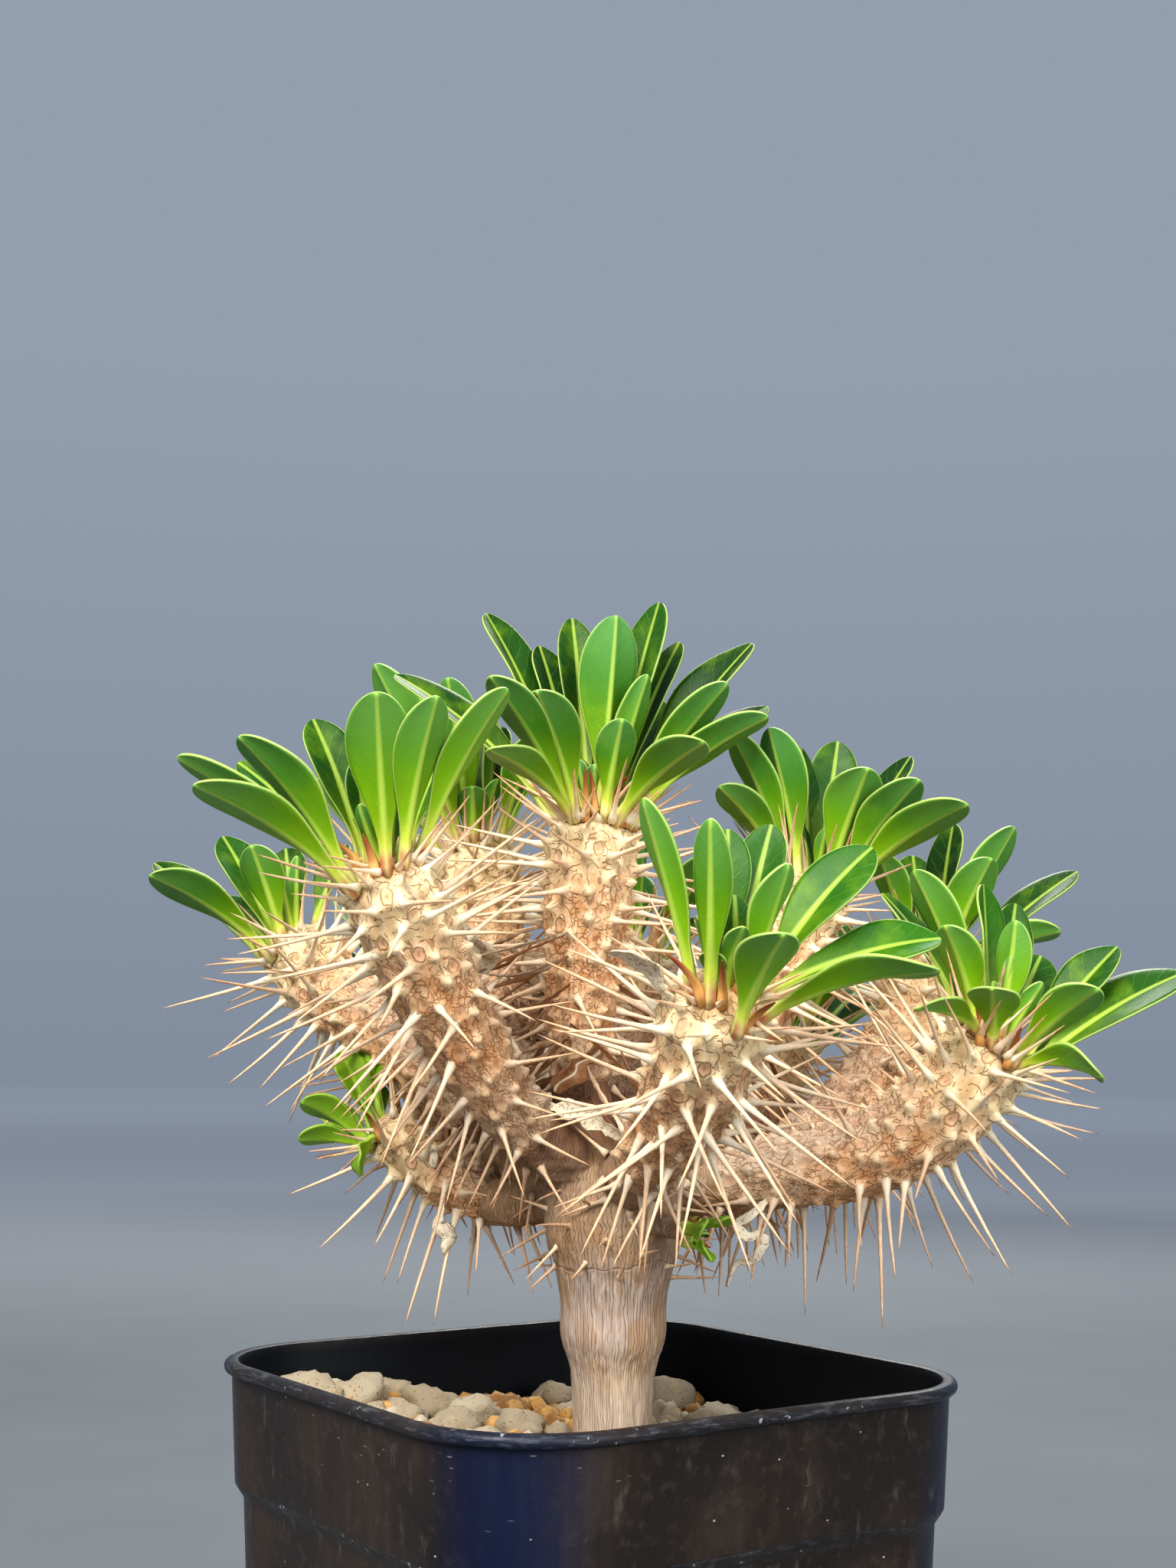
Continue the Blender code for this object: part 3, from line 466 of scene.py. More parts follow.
class Graph:
    """A node material, written as short calls that take and return values. Its body is the
    colour so far, and each coat goes over it. Lengths are in millimetres."""

    def __init__(self, name, roughness, specular=0.5):
        self.material = bpy.data.materials.new(name)
        self.material.use_nodes = True
        self.tree = self.material.node_tree
        self.surface = self.tree.nodes["Principled BSDF"]
        self.set("Roughness", roughness)
        self.set("Specular IOR Level", specular)
        self.body = None

    def feed(self, socket, value):
        """Links a value to a socket, or sets a number or a colour in hex digits on it."""
        if isinstance(value, Value):
            self.tree.links.new(value.socket, socket)
        else:
            socket.default_value = colour(value) if isinstance(value, str) else value

    def set(self, name, value):
        self.feed(self.surface.inputs[name], value)

    def node(self, kind, *feeds, output=0, **settings):
        made = self.tree.nodes.new("ShaderNode" + kind)
        for key, value in settings.items():
            setattr(made, key, value)
        for place, value in feeds:
            self.feed(made.inputs[place], value)
        return Value(self, made.outputs[output])

    def math(self, operation, a, b=0.0):
        return self.node("Math", (0, a), (1, b), operation=operation)

    def most(self, a, b):
        return self.math("MAXIMUM", a, b)

    def band(self, value, low, high):
        """0 below low, 1 above high, smooth between."""
        return self.node("MapRange", ("Value", value), ("From Min", low), ("From Max", high),
                         output="Result", interpolation_type="SMOOTHSTEP")

    def under(self, value, low, high):
        """1 below low, 0 above high, smooth between."""
        return 1.0 - self.band(value, low, high)

    def ridge(self, value, middle, reach):
        """1 where value is at the middle, 0 further from it than reach."""
        return self.under(abs(value - middle), 0.2 * reach, reach)

    def stripes(self, value, pitch, low, high):
        """Dark lines, a pitch apart, as 1 on 0."""
        wave = self.math("SINE", value * (math.pi / pitch))
        return self.under(abs(wave), low, high)

    def mix(self, factor, a, b):
        return self.node("Mix", (0, factor), (6, a), (7, b), output=2, data_type="RGBA")

    def blend(self, factor, a, b):
        return self.node("Mix", (0, factor), (2, a), (3, b), data_type="FLOAT")

    def coat(self, mask, tint):
        self.body = self.mix(mask, self.body, tint)

    def vector(self, operation, vector, *feeds, output=0):
        return self.node("VectorMath", (0, vector), *feeds, output=output, operation=operation)

    def millimetres(self):
        """The place on the piece."""
        return self.vector("SCALE", self.node("TexCoord", output="Object"), (3, 1 / MM))

    def stretch(self, vector, scales):
        return self.vector("MULTIPLY", vector, (1, scales))

    def drawn_up(self, vector, share):
        """The place with its height scaled down, which draws a pattern out upwards."""
        return self.stretch(vector, (1.0, 1.0, share))

    def shift(self, vector, by):
        return self.vector("ADD", vector, (1, by))

    def length(self, vector):
        return self.vector("LENGTH", vector, output="Value")

    def noise(self, where, scale, detail=3.0, rough=0.55, output="Fac"):
        return self.node("TexNoise", ("Vector", where), ("Scale", scale), ("Detail", detail),
                         ("Roughness", rough), output=output)

    def cloud(self, where, scale, low, high, detail=3.0, rough=0.55):
        """Soft patches of noise, from 0 to 1."""
        return self.band(self.noise(where, scale, detail, rough), low, high)

    def warp(self, where, scale, amount):
        """The same place, pushed about by noise."""
        push = self.noise(where, scale, 2.0, 0.5, "Color")
        centred = self.vector("SUBTRACT", push, (1, (0.5, 0.5, 0.5)))
        return self.vector("ADD", where, (1, self.vector("SCALE", centred, (3, amount))))

    def cells(self, where, scale, feature="DISTANCE_TO_EDGE"):
        return self.node("TexVoronoi", ("Vector", where), ("Scale", scale),
                         output="Distance", feature=feature)

    def place(self, name):
        """The vector that a piece carries under that name."""
        return self.node("Attribute", output="Vector", attribute_name=name)

    def split(self, vector):
        made = self.node("SeparateXYZ", (0, vector)).socket.node
        return [Value(self, socket) for socket in made.outputs]

    def data(self, name):
        """The three numbers that a piece carries under that name."""
        return self.split(self.place(name))

    def bump(self, height, distance, strength=1.0):
        """Adds relief of that depth where height goes from 0 to 1."""
        made = self.node("Bump", ("Height", height), ("Distance", distance * MM), ("Strength", strength))
        before = self.surface.inputs["Normal"]
        if before.is_linked:
            self.tree.links.new(before.links[0].from_socket, made.socket.node.inputs["Normal"])
        self.feed(before, made)

    def finish(self):
        self.set("Base Color", self.body)
        return self.material


def leaf_material():
    """Dark above, lime beneath and a paler bluish green towards the tip, cream at the foot with some red.
    """
    g = Graph("leaf_green", 0.46, 0.25)
    across, along, upper = g.data("leaf_at")
    draw, share, length = g.data("leaf_tone")
    place = g.millimetres()
    across = abs(across)
    above = g.band(upper, 0.4, 0.6)
    g.body = g.mix(above, g.mix(draw, "38740a", "70a512"), g.mix(draw, "123906", "2e650a"))
    g.coat(g.cloud(place, 0.16, 0.45, 0.75, 4.0) * 0.3, "82a814")
    g.coat(g.band(along, 0.45, 1.0) * (1.0 - above) * 0.5, "6fa564")
    slant = along * length - across * 1.25 + g.noise(place, 0.5, 2.0) * 2.4
    vein = g.stripes(slant, 3.4, 0.02, 0.2)
    g.coat(vein * (above * 0.05 + 0.03), "a3c460")
    g.coat(g.under(along, 0.1, 0.7) * (0.6 - above * 0.3), "98b90e")
    rib = g.under(across / (1.05 - along * 0.7), 0.35, 1.25)
    g.coat(rib * (0.9 - along * 0.4), "bad25c")
    g.coat(g.under(along, 0.05, 0.3), "c5cf4e")
    g.coat(g.under(along, 0.0, 0.14), "dfd896")
    red = g.under(along, 0.02, 0.11) * g.band(share, -0.6, 1.1)
    g.coat(red * g.band(draw, 0.0, 0.8), "b4604a")
    g.coat(g.band(share, 0.95, 0.995) * 0.68, "bfcf7a")
    g.coat(g.under(draw, -0.6, -0.1) * 0.6, "96c22c")
    bract = g.mix(g.band(along, 0.1, 0.8), "cf9a5c", "9a5238")
    g.coat(g.band(draw, 1.4, 1.6), bract)
    g.bump(vein, 0.05, 0.4)
    g.bump(g.noise(place, 1.6), 0.08, 0.5)
    g.set("Subsurface Weight", 0.15)
    g.set("Subsurface Radius", (0.4, 0.8, 0.15))
    g.set("Subsurface Scale", 0.0012)
    return g.finish()


def skin_seams(g, where, aged, from_scar):
    """Rings round the leaf scars, wide cracks, and a net of fine ones where the skin is old."""
    rings = g.stripes(from_scar * 0.6 + g.noise(where, 0.24, 2.0) * 2.6, 1.0, 0.06, 0.3)
    rings = rings * g.cloud(where, 0.4, 0.44, 0.54, 2.0)
    wide = g.under(g.cells(g.warp(where, 0.4, 1.8), 0.4), 0.012, 0.06)
    wide = wide * g.cloud(where, 0.6, 0.49, 0.55, 2.0)
    net = g.under(g.cells(g.warp(where, 0.6, 0.9), 0.85), 0.02, 0.11)
    net = net * g.cloud(where, 0.7, 0.46, 0.54, 2.0) * g.band(aged, 0.15, 0.5)
    return g.most(g.most(rings, wide), net) * g.band(from_scar, 1.1, 1.4)


def skin_material():
    """Ivory where the stem is young, then tan, then greyer, with dark wandering seams,
    round leaf scars and painted shade in the hollows between the young tubercles."""
    g = Graph("stem_skin", 0.7)
    where = g.place("skin_at")
    age, _, ivory = g.data("skin_tone")
    from_scar, faces_up, relief = g.data("skin_mark")
    fine = g.noise(where, 1.0, 4.0)
    aged = age + (g.noise(where, 0.13) - 0.5) * 0.7
    g.body = g.mix(g.band(aged, 0.05, 0.35), "d8be92", "d7ac80")
    g.coat(g.band(aged, 0.3, 0.6), "d8a97e")
    g.coat(g.cloud(where, 0.22, 0.46, 0.62) * g.band(aged, 0.2, 0.5) * 0.7, "c8864e")
    g.coat(g.band(aged, 0.75, 1.1), "c2a283")
    g.coat(g.band(faces_up, -0.1, 0.7) * g.band(aged, 0.2, 0.55) * 0.6, "a8978a")
    g.coat(g.band(fine, 0.5, 0.68) * 0.4, "ecdcc2")
    g.coat(g.under(fine, 0.34, 0.47) * 0.3, "a47850")
    g.coat(ivory * (0.8 - g.band(aged, 0.3, 0.9) * 0.6), "e9d9b4")
    # Painted shade in the hollows between the young tubercles, where the relief is low
    g.coat(g.under(relief, 0.05, 0.45) * g.under(aged, 0.3, 0.8) * 0.55, "b3834e")

    # Leaf scars: a disc, a dark rim and a dot, which fade with age
    wobbly = from_scar + (g.noise(where, 0.8, 1.0) - 0.5) * 0.9
    clear = g.under(aged, 0.4, 0.75) * g.cloud(where, 0.16, 0.38, 0.5, 1.0)
    g.coat(g.under(wobbly, 0.85, 1.0) * clear * 0.6, "cf9c78")
    rim = g.ridge(wobbly, 1.1, 0.2) * clear
    g.coat(g.under(from_scar, 0.2, 0.5) * clear * 0.6, "96602f")

    seams = skin_seams(g, where, aged, from_scar) * (1.0 - g.band(ivory, 0.4, 0.9) * 0.85)
    lines = g.most(seams, rim)
    g.coat(lines * (0.66 - g.band(aged, 0.4, 0.8) * 0.12), "824e25")
    g.bump(lines, -0.16, 0.9)
    g.bump(fine, 0.2, 0.5)
    return g.finish()


def spine_material():
    """Straw-coloured horn with brown tips. Young spines are reddish, old ones brown."""
    g = Graph("spine_horn", 0.5)
    along, draw, age = g.data("spine_at")
    streak = g.noise(g.millimetres(), 1.4)
    g.body = g.mix(g.band(along, 0.02, 0.3), "f3e6cb", "efd2ae")
    g.coat(g.band(along, 0.4, 0.9), "e2b48a")
    g.coat(g.band(along, 0.9, 1.0), "86644c")
    g.coat(g.band(draw, 0.3, 1.0) * 0.4, "d09a70")
    g.coat(g.band(age, 0.45, 1.0) * 0.35, "b2845c")
    g.coat(g.under(age, -0.5, -0.1) * g.band(along, 0.15, 0.9) * 0.45, "c8845c")
    g.coat(g.band(streak, 0.5, 0.68) * 0.4, "f6ebd8")
    g.bump(streak, 0.08, 0.5)
    return g.finish()


def bark_material():
    """Fine upright fissures on the trunk and its neck, rings round the limbs, and dark brown at the crotch
    that is partly painted shade.
    """
    g = Graph("trunk_bark", 0.8)
    place = g.millimetres()
    from_middle = g.shift(place, tuple(-turned((*TRUNK_MIDDLE, 0))))
    across, along, height = g.split(from_middle)
    around = g.math("ARCTAN2", along, across) * 9.0
    radial = g.length(g.drawn_up(from_middle, 0.0))
    wobbly = height + g.noise(place, 0.12, 2.0) * 6
    neck = g.band(wobbly, 129.0, 135.0)
    limb = g.band(radial + g.band(height, 138.0, 150.0) * 4.0, 13.0, 16.0)

    waves = g.blend(neck, g.noise(g.drawn_up(place, 0.3), 0.35, 2.0), g.noise(place, 0.4, 2.0))
    gaps = g.blend(neck, g.noise(g.drawn_up(place, 0.13), 0.7, 2.0), g.noise(place, 0.55, 2.0))
    lines = g.stripes(g.blend(limb, around, radial) * 1.7 + waves * 3.6, 1.0, 0.04, 0.34)
    seam = g.ridge(wobbly, 130.6, 0.35) * g.cloud(place, 0.2, 0.42, 0.5, 2.0)
    lines = g.most(lines * g.band(gaps, 0.4, 0.5), seam * 0.6)

    grain = g.noise(g.drawn_up(place, 0.16), 1.3, 4.0)
    g.body = g.mix(g.cloud(g.drawn_up(place, 0.5), 0.12, 0.42, 0.58), "b09d89", "a6886c")
    g.coat(g.cloud(g.drawn_up(place, 0.6), 0.09, 0.45, 0.58, 2.0) * 0.7, "a5938a")
    g.coat(g.under(height, 104.0, 116.0) * 0.4, "b8a992")
    g.coat(g.band(grain, 0.5, 0.64) * 0.36, "d6c8b3")
    g.coat(g.under(grain, 0.36, 0.48) * 0.4, "957a5c")
    g.coat(neck * 0.5, "ae8a62")
    # Dark brown where the stems meet the trunk's top: partly the bark's own brown, partly painted shade of
    # the crotch
    g.coat(g.band(wobbly, 145.0, 154.0) * 0.75, "6b4428")
    g.coat(lines * 0.4, "6a513c")
    g.bump(lines, -0.22, 0.9)
    g.bump(grain, 0.25, 0.7)
    return g.finish()


def pot_material():
    """Black nursery plastic: brown with dust outside, a painted navy reflection at its corners,
    scuffed on its edges and near black inside."""
    g = Graph("pot_black", 0.42, 0.3)
    where = g.place("pot_at")
    inside, edge, _ = g.data("pot_tone")
    cloud = g.noise(where, 0.035, 4.0)
    dust = g.cloud(g.drawn_up(where, 0.1), 0.16, 0.36, 0.68, 5.0, 0.65) * g.band(cloud, 0.36, 0.62)
    g.body = g.mix(g.band(cloud, 0.4, 0.6), "231d19", "2c221c")
    g.coat(dust * 0.4, "4a3e35")
    g.coat(g.cloud(where, 0.4, 0.5, 0.68, 5.0, 0.7) * 0.35, "4a3f37")

    # The painted navy reflection at the corners fades out towards the foot
    sideways, along, height = g.split(g.vector("ABSOLUTE", where))
    corner = sideways + along - height * (2 * BAND_TAPER) + (cloud - 0.5) * 8.0
    g.coat(g.band(corner, 68.0, 78.5) * g.band(height, 0.0, 75.0) * 0.95, "001233")

    g.coat(g.cloud(g.drawn_up(where, 0.4), 0.3, 0.6, 0.74, 4.0) * 0.35, "66635e")
    speck = g.under(g.cells(g.drawn_up(where, 1.6), 0.22, "F1"), 0.04, 0.07)
    g.coat(speck * g.cloud(where, 0.13, 0.5, 0.56, 1.0) * 0.8, "b0aaa2")
    dash = g.under(g.cells(g.stretch(where, (0.3, 0.3, 1.5)), 0.6, "F1"), 0.06, 0.12)
    near_rim = g.band(height, 90.0, 108.0) * g.band(cloud, 0.46, 0.54)
    g.coat(dash * near_rim * 0.6, "8a857e")
    scuff = g.cloud(g.stretch(where, (0.35, 0.35, 2.2)), 0.9, 0.5, 0.68, 4.0, 0.6)
    g.coat(edge * 0.5, "23242a")
    g.coat(edge * scuff * 0.32, "6a6e75")
    nick = g.band(edge, 0.25, 0.4) * g.cloud(where, 0.5, 0.66, 0.7)
    g.coat(nick * 0.7, "a3a7ac")
    g.coat(inside, "040a12")
    g.set("Roughness", dust * 0.2 + 0.36 + inside * 0.12)
    g.bump(g.noise(where, 1.1, 4.0), 0.1, 0.4)
    g.bump(nick, -0.1, 0.5)
    return g.finish()


def stone_material():
    """Pale pumice with pits, or brown clay, as each stone says."""
    g = Graph("pumice_and_clay", 0.9)
    kind, draw, _ = g.data("stone_tone")
    place = g.millimetres()
    broad = g.noise(place, 0.35)
    fine = g.noise(place, 2.2, 4.0)
    pale = g.mix(g.band(broad, 0.5, 0.7) * 0.6, g.mix(draw, "b3a894", "8d7f68"), "ab9878")
    clay = g.mix(g.band(broad, 0.45, 0.65) * 0.6, g.mix(draw, "b78c50", "7d552c"), "cda869")
    g.body = g.mix(kind, pale, clay)
    g.coat(g.under(fine, 0.3, 0.42) * 0.45, "6d5844")
    pits = g.under(g.cells(place, 1.1, "F1"), 0.12, 0.3) * g.band(broad, 0.42, 0.6)
    g.coat(pits * 0.5, "6a5a48")
    g.bump(pits, -0.3, 0.7)
    g.bump(fine, 0.25, 0.7)
    return g.finish()


def soil_material():
    """Plain brown soil, which the stones all but hide."""
    g = Graph("potting_soil", 0.95)
    grain = g.noise(g.millimetres(), 0.9, 5.0, 0.7)
    g.body = g.mix(g.band(grain, 0.35, 0.65), "3a2415", "7a5330")
    g.bump(grain, 0.8, 0.8)
    return g.finish()


def dry_leaf_material():
    """Withered leaves and shreds, from brown straw to white paper."""
    g = Graph("withered_leaf", 0.75)
    across = g.data("leaf_at")[0]
    tint = g.data("leaf_tone")[0]
    place = g.millimetres()
    cloud = g.noise(place, 0.45, 4.0)
    fibre = g.noise(place, 1.6, 4.0)
    g.body = g.mix(tint + (cloud - 0.5) * 0.8, "7b502b", "ecdfc4")
    g.coat(g.under(fibre, 0.38, 0.48) * 0.55, "7b5c40")
    g.coat(g.under(abs(across), 0.15, 0.35) * 0.4, "f2ead8")
    g.bump(cloud, 0.5, 0.8)
    g.bump(fibre, 0.2, 0.8)
    return g.finish()


# Stems


def smooth_stem(points, radii=None):
    """A curve through the points (Catmull-Rom), read every millimetre, with untwisted frames."""
    knots = np.array(points, float)
    knots = np.vstack([2 * knots[0] - knots[1], knots, 2 * knots[-1] - knots[-2]])
    dense = []
    for a, b, c, d in zip(knots, knots[1:], knots[2:], knots[3:]):
        for t in np.linspace(0, 1, 24, endpoint=False):
            dense.append(0.5 * (2 * b + (c - a) * t + (2 * a - 5 * b + 4 * c - d) * t**2
                                + (3 * b - a - 3 * c + d) * t**3))
    dense = np.array(dense + [knots[-2]])
    along = np.concatenate([[0], np.cumsum(np.linalg.norm(np.diff(dense, axis=0), axis=1))])
    length = along[-1]
    read = np.linspace(0, length, max(int(length), 4) + 1)
    centres = np.stack([np.interp(read, along, dense[:, axis]) for axis in range(3)], 1)
    forwards = unit(np.gradient(centres, axis=0))
    side = np.cross(forwards[0], (0.3, 1.0, 0.1))
    sides = []
    for forward in forwards:
        side = unit(side - forward * side.dot(forward))
        sides.append(side)
    sides = np.array(sides)
    return Stem(centres, forwards, sides, np.cross(forwards, sides), length, radii)


def stem_frames(stem, along):
    """Middles and unit frames of a stem at an array of distances along it."""
    place = np.clip(along / stem.length, 0, 1) * (len(stem.centres) - 1)
    before = np.minimum(place.astype(int), len(stem.centres) - 2)
    part = (place - before)[:, None]
    found = [table[before] * (1 - part) + table[before + 1] * part for table in stem[:4]]
    return found[0], unit(found[1]), unit(found[2]), unit(found[3])


def stem_radius(stem, along):
    """Slender below, swelling to a stout tip with a rounded edge."""
    base, tip = stem.radii
    radius = base + (tip - base) * smooth(along / stem.length, 0.25, 0.9)
    near_end = np.maximum(0, along - (stem.length - TIP_ROUNDING)) / TIP_ROUNDING
    return radius * (1 - 0.22 * near_end**2)


def stem_surface(stem, reach, turn):
    """Points, outward directions and radii on a bare stem. A reach past the stem's length goes
    over its rounded tip."""
    over = np.clip((reach - stem.length) / CAP_ARC, 0, 1) * math.pi / 2
    along = np.minimum(reach, stem.length)
    middle, forward, side, up = stem_frames(stem, along)
    outward = np.cos(turn)[:, None] * side + np.sin(turn)[:, None] * up
    radius = stem_radius(stem, along) * np.cos(over)
    rise = cap_height(stem) * np.sin(over)
    points = middle + outward * radius[:, None] + forward * rise[:, None]
    return points, unit(outward * np.cos(over)[:, None] + forward * np.sin(over)[:, None]), radius


def cap_height(stem):
    """How far the rounded tip stands above the stem's end."""
    return CAP_HEIGHT * stem.radii[1] / 9.0


def stem_age(stem, reach):
    """0 at a stem's tip, rising to 1.2 further down."""
    return np.clip((stem.length - reach) / AGE_RUN, 0, 1.2)


def growth_sites(stem, start, seed):
    """Leaf scars, each with a pair of spines, in a golden-angle spiral up to the tip."""
    draw = random.Random(seed)
    end = stem.length + 0.42 * CAP_ARC
    mean = float(stem_radius(stem, np.array((start + stem.length) / 2)))
    count = max(6, round(math.tau * mean * (end - start) / SITE_AREA))
    turn = draw.uniform(0, math.tau)
    sites = []
    for k in range(count):
        reach = start + (end - start) * (k + 0.5) / count + draw.uniform(-0.5, 0.5)
        sites.append((reach, turn + k * GOLDEN_TURN + draw.uniform(-0.1, 0.1)))
    return sites


def spine_foot(across, along, strength):
    """Round one spine's foot, how far the skin stands out and how bony it is, down to the tail
    that runs below it."""
    distance = across * across + along * along
    grown = 1.3 * (0.4 + 0.6 * strength) * np.exp(-distance / 0.9**2)
    below, above = np.minimum(along, 0), np.maximum(along, 0)
    tail = np.exp(-(across / 0.8) ** 2) * np.exp(below / 2.4) * np.exp(-(above / 0.8) ** 2)
    return grown, tail, np.maximum(np.exp(-distance / 1.3**2), tail * 0.9)


def skin_relief(stem, reach, turn, radius, sites):
    """How far the skin stands out at each point, how bony it is, and how far from a scar."""
    relief = np.zeros_like(reach)
    ivory = np.zeros_like(reach)
    from_scar = np.full_like(reach, NO_SCAR)
    vigour = 1 - 0.6 * smooth(stem_age(stem, reach), 0.1, 1.0)
    for site_reach, site_turn in sites:
        around = (turn - site_turn + math.pi) % math.tau - math.pi
        across = around * np.maximum(radius, 1.0)
        along = reach - site_reach
        near = (np.abs(across) < SITE_HALF_WIDTH) & (np.abs(along) < SITE_HALF_HEIGHT)
        u, v, strength = across[near], along[near], vigour[near]
        grown = 0.8 * strength * np.exp(-(u / 3.1) ** 2 - (v / 3.0) ** 2)
        pale = np.zeros_like(u)
        for hand in (-1, 1):
            foot, tail, bony = spine_foot(u - hand * SPINE_APART, v + SPINE_DROP, strength)
            grown += foot
            grown += strength * tail
            pale = np.maximum(pale, bony)
        distance = np.hypot(u, (v - 1.0) * 0.9)
        rim = 0.3 * np.exp(-((distance - 1.3) / 0.4) ** 2)
        dent = 0.4 * np.exp(-(distance / 0.9) ** 2)
        relief[near] += grown + (rim - dent) * (0.3 + 0.7 * strength)
        ivory[near] = np.maximum(ivory[near], pale)
        from_scar[near] = np.minimum(from_scar[near], distance)
    return relief, ivory, from_scar


def skin_patch(stem, start, sites):
    """The fine skin of a stem from a distance along it to the middle of its rounded tip."""
    coarser = 1
    sides = SKIN_SIDES // coarser
    over_tip = stem.length + CAP_ARC * np.linspace(0, 0.985, 14)
    rows = np.concatenate([np.arange(start, stem.length, SKIN_STEP * coarser), over_tip])
    reach = np.repeat(rows, sides)
    turn = np.tile(ring_turns(sides), len(rows))
    points, outward, radius = stem_surface(stem, reach, turn)
    grown, ivory, from_scar = skin_relief(stem, reach, turn, radius, sites)
    age = stem_age(stem, reach)
    over = smooth(reach, stem.length, stem.length + 0.8 * CAP_ARC)
    thinned = SKIN_THINNED + (OLD_SKIN_THINNED - SKIN_THINNED) * smooth(age, 0.1, 1.0)
    push = (grown - thinned) * (1 - 0.85 * over) + 0.25 * wobble(points, 0.32)
    push -= 0.8 * (1 - smooth(reach, start, start + 4))
    points = points + outward * push[:, None]
    tip = stem.radii[1]
    data = {
        "skin_at": np.stack([np.cos(turn) * tip, np.sin(turn) * tip, reach], 1),
        "skin_tone": np.stack([age, 0 * reach, ivory], 1),
        "skin_mark": np.stack([from_scar, outward[:, 2], grown], 1),
    }
    return tube_patch(points.reshape(len(rows), sides, 3), data)


def spine_patch(root, aim, length, bow, tint, age):
    """A round, slightly bent spine that flares at its base."""
    parts, thick = (np.array(values) for values in zip(*SPINE_PROFILE))
    slim = min(1.0, 0.62 + 0.38 * length / SPINE_LENGTH)
    side = unit(np.cross(aim, (0.21, 0.33, 0.92)))
    up = np.cross(aim, side)
    middles = root + aim * (parts * length)[:, None] + bow * (parts**2 * length)[:, None]
    turns = ring_turns(SPINE_SIDES)
    around = np.cos(turns)[:, None] * side + np.sin(turns)[:, None] * up
    rings = middles[:, None] + around[None] * (thick * slim)[:, None, None]
    values = np.broadcast_to(np.array((0, tint, age)), rings.shape).copy()
    values[..., 0] = parts[:, None]
    return tube_patch(rings, {"spine_at": values}, HORN)


def rotated(vector, axis, degrees):
    return np.array(Matrix.Rotation(math.radians(degrees), 3, Vector(axis)) @ Vector(vector))


def is_clear(root, tip, trees):
    """Whether a straight line meets none of the surfaces."""
    start = Vector(root)
    line = Vector(tip) - start
    direction = line.normalized()
    return not any(tree.ray_cast(start, direction, line.length)[0] for tree in trees)


def clear_aim(root, aim, forward, length, trees):
    """The first bend, then the first shorter length, in which a spine meets nothing."""
    across = unit(np.cross(forward, aim))
    for share in (1.0, 0.7, 0.45):
        for fore, sideways in BENDS:
            bent = rotated(rotated(aim, across, fore), forward, sideways)
            if is_clear(root + bent * 1.6, root + bent * (length * share + 0.8), trees):
                return bent, length * share
    return None, 0


def has_shed(age, outward, draw):
    """Whether a spine has dropped: old ones do, and first on the side of a stem that faces up."""
    bare = 0.15 + 0.75 * float(smooth(outward[2] - 0.6 * outward[1], -0.15, 0.35))
    return draw.random() < bare * float(smooth(age, 0.15, 0.45))


def spine_stance(stem, site_reach, turn):
    """The root of a spine on the skin, and the ways out, forward and across there."""
    reach = np.array([site_reach - SPINE_DROP])
    surface, outward, _ = (value[0] for value in stem_surface(stem, reach, np.array([turn])))
    forward = stem_frames(stem, np.minimum(reach, stem.length))[1][0]
    return surface + outward * 0.1, outward, forward, np.cross(forward, outward)


def spine_patches(stem, sites, seed, trees):
    """The pair of spines at each leaf scar. Young ones lean forward, old ones are short and
    lean back."""
    draw = random.Random(seed + 100)
    made = []
    for site_reach, site_turn in sites:
        youth = min(max((site_reach - 12) / (stem.length - 12), 0), 1.1)
        grown = OLD_SPINE_LENGTH + (SPINE_LENGTH - OLD_SPINE_LENGTH) * min(1, 1.8 * youth)
        if site_reach > stem.length - 1:
            grown *= 0.55
        radius = float(stem_radius(stem, np.array(min(site_reach, stem.length))))
        age = float(stem_age(stem, site_reach))
        for hand in (-1, 1):
            turn = site_turn + hand * SPINE_APART / radius
            root, outward, forward, across = spine_stance(stem, site_reach, turn)
            lean = math.radians(-30 + 30 * youth + 24 * min(youth, 1) ** 6 + draw.uniform(-11, 11))
            skew = math.radians(hand * draw.uniform(8, 30))
            aim = outward * math.cos(lean) + forward * math.sin(lean)
            aim = unit(aim * math.cos(skew) + across * math.sin(skew))
            length = grown * draw.uniform(0.72, 1.12)
            if has_shed(age, outward, draw):
                continue
            aim, length = clear_aim(root, aim, forward, length, trees)
            if aim is not None:
                bow = forward * draw.uniform(-0.05, 0.07) + across * draw.uniform(-0.05, 0.05)
                made.append(spine_patch(root, aim, length, bow, draw.random(), age))
    return made


def young_spine_patches(branch, stem, seed, trees):
    """Two short young spines beside the foot of each leaf."""
    draw = random.Random(seed + 700)
    made = []
    axis = stem.forwards[-1]
    for *place, _ in branch.leaves:
        foot, outward = leaf_root(stem, place)
        across = np.cross(axis, outward)
        for hand in (-1, 1):
            if draw.random() < 0.25:
                continue
            root = foot + across * hand * 1.8 + outward * 0.5 - axis * 0.5
            aim = outward * draw.uniform(0.7, 1.1) + axis * draw.uniform(0.5, 1.0)
            aim = unit(aim + across * hand * draw.uniform(0.2, 0.7))
            length = branch.core * draw.uniform(1.2, 2.8)
            aim, length = clear_aim(root, aim, axis, length, trees)
            if aim is not None:
                bow = outward * draw.uniform(-0.08, 0.08)
                made.append(spine_patch(root, aim, length, bow, draw.random(), YOUNG))
    return made


# Leaves


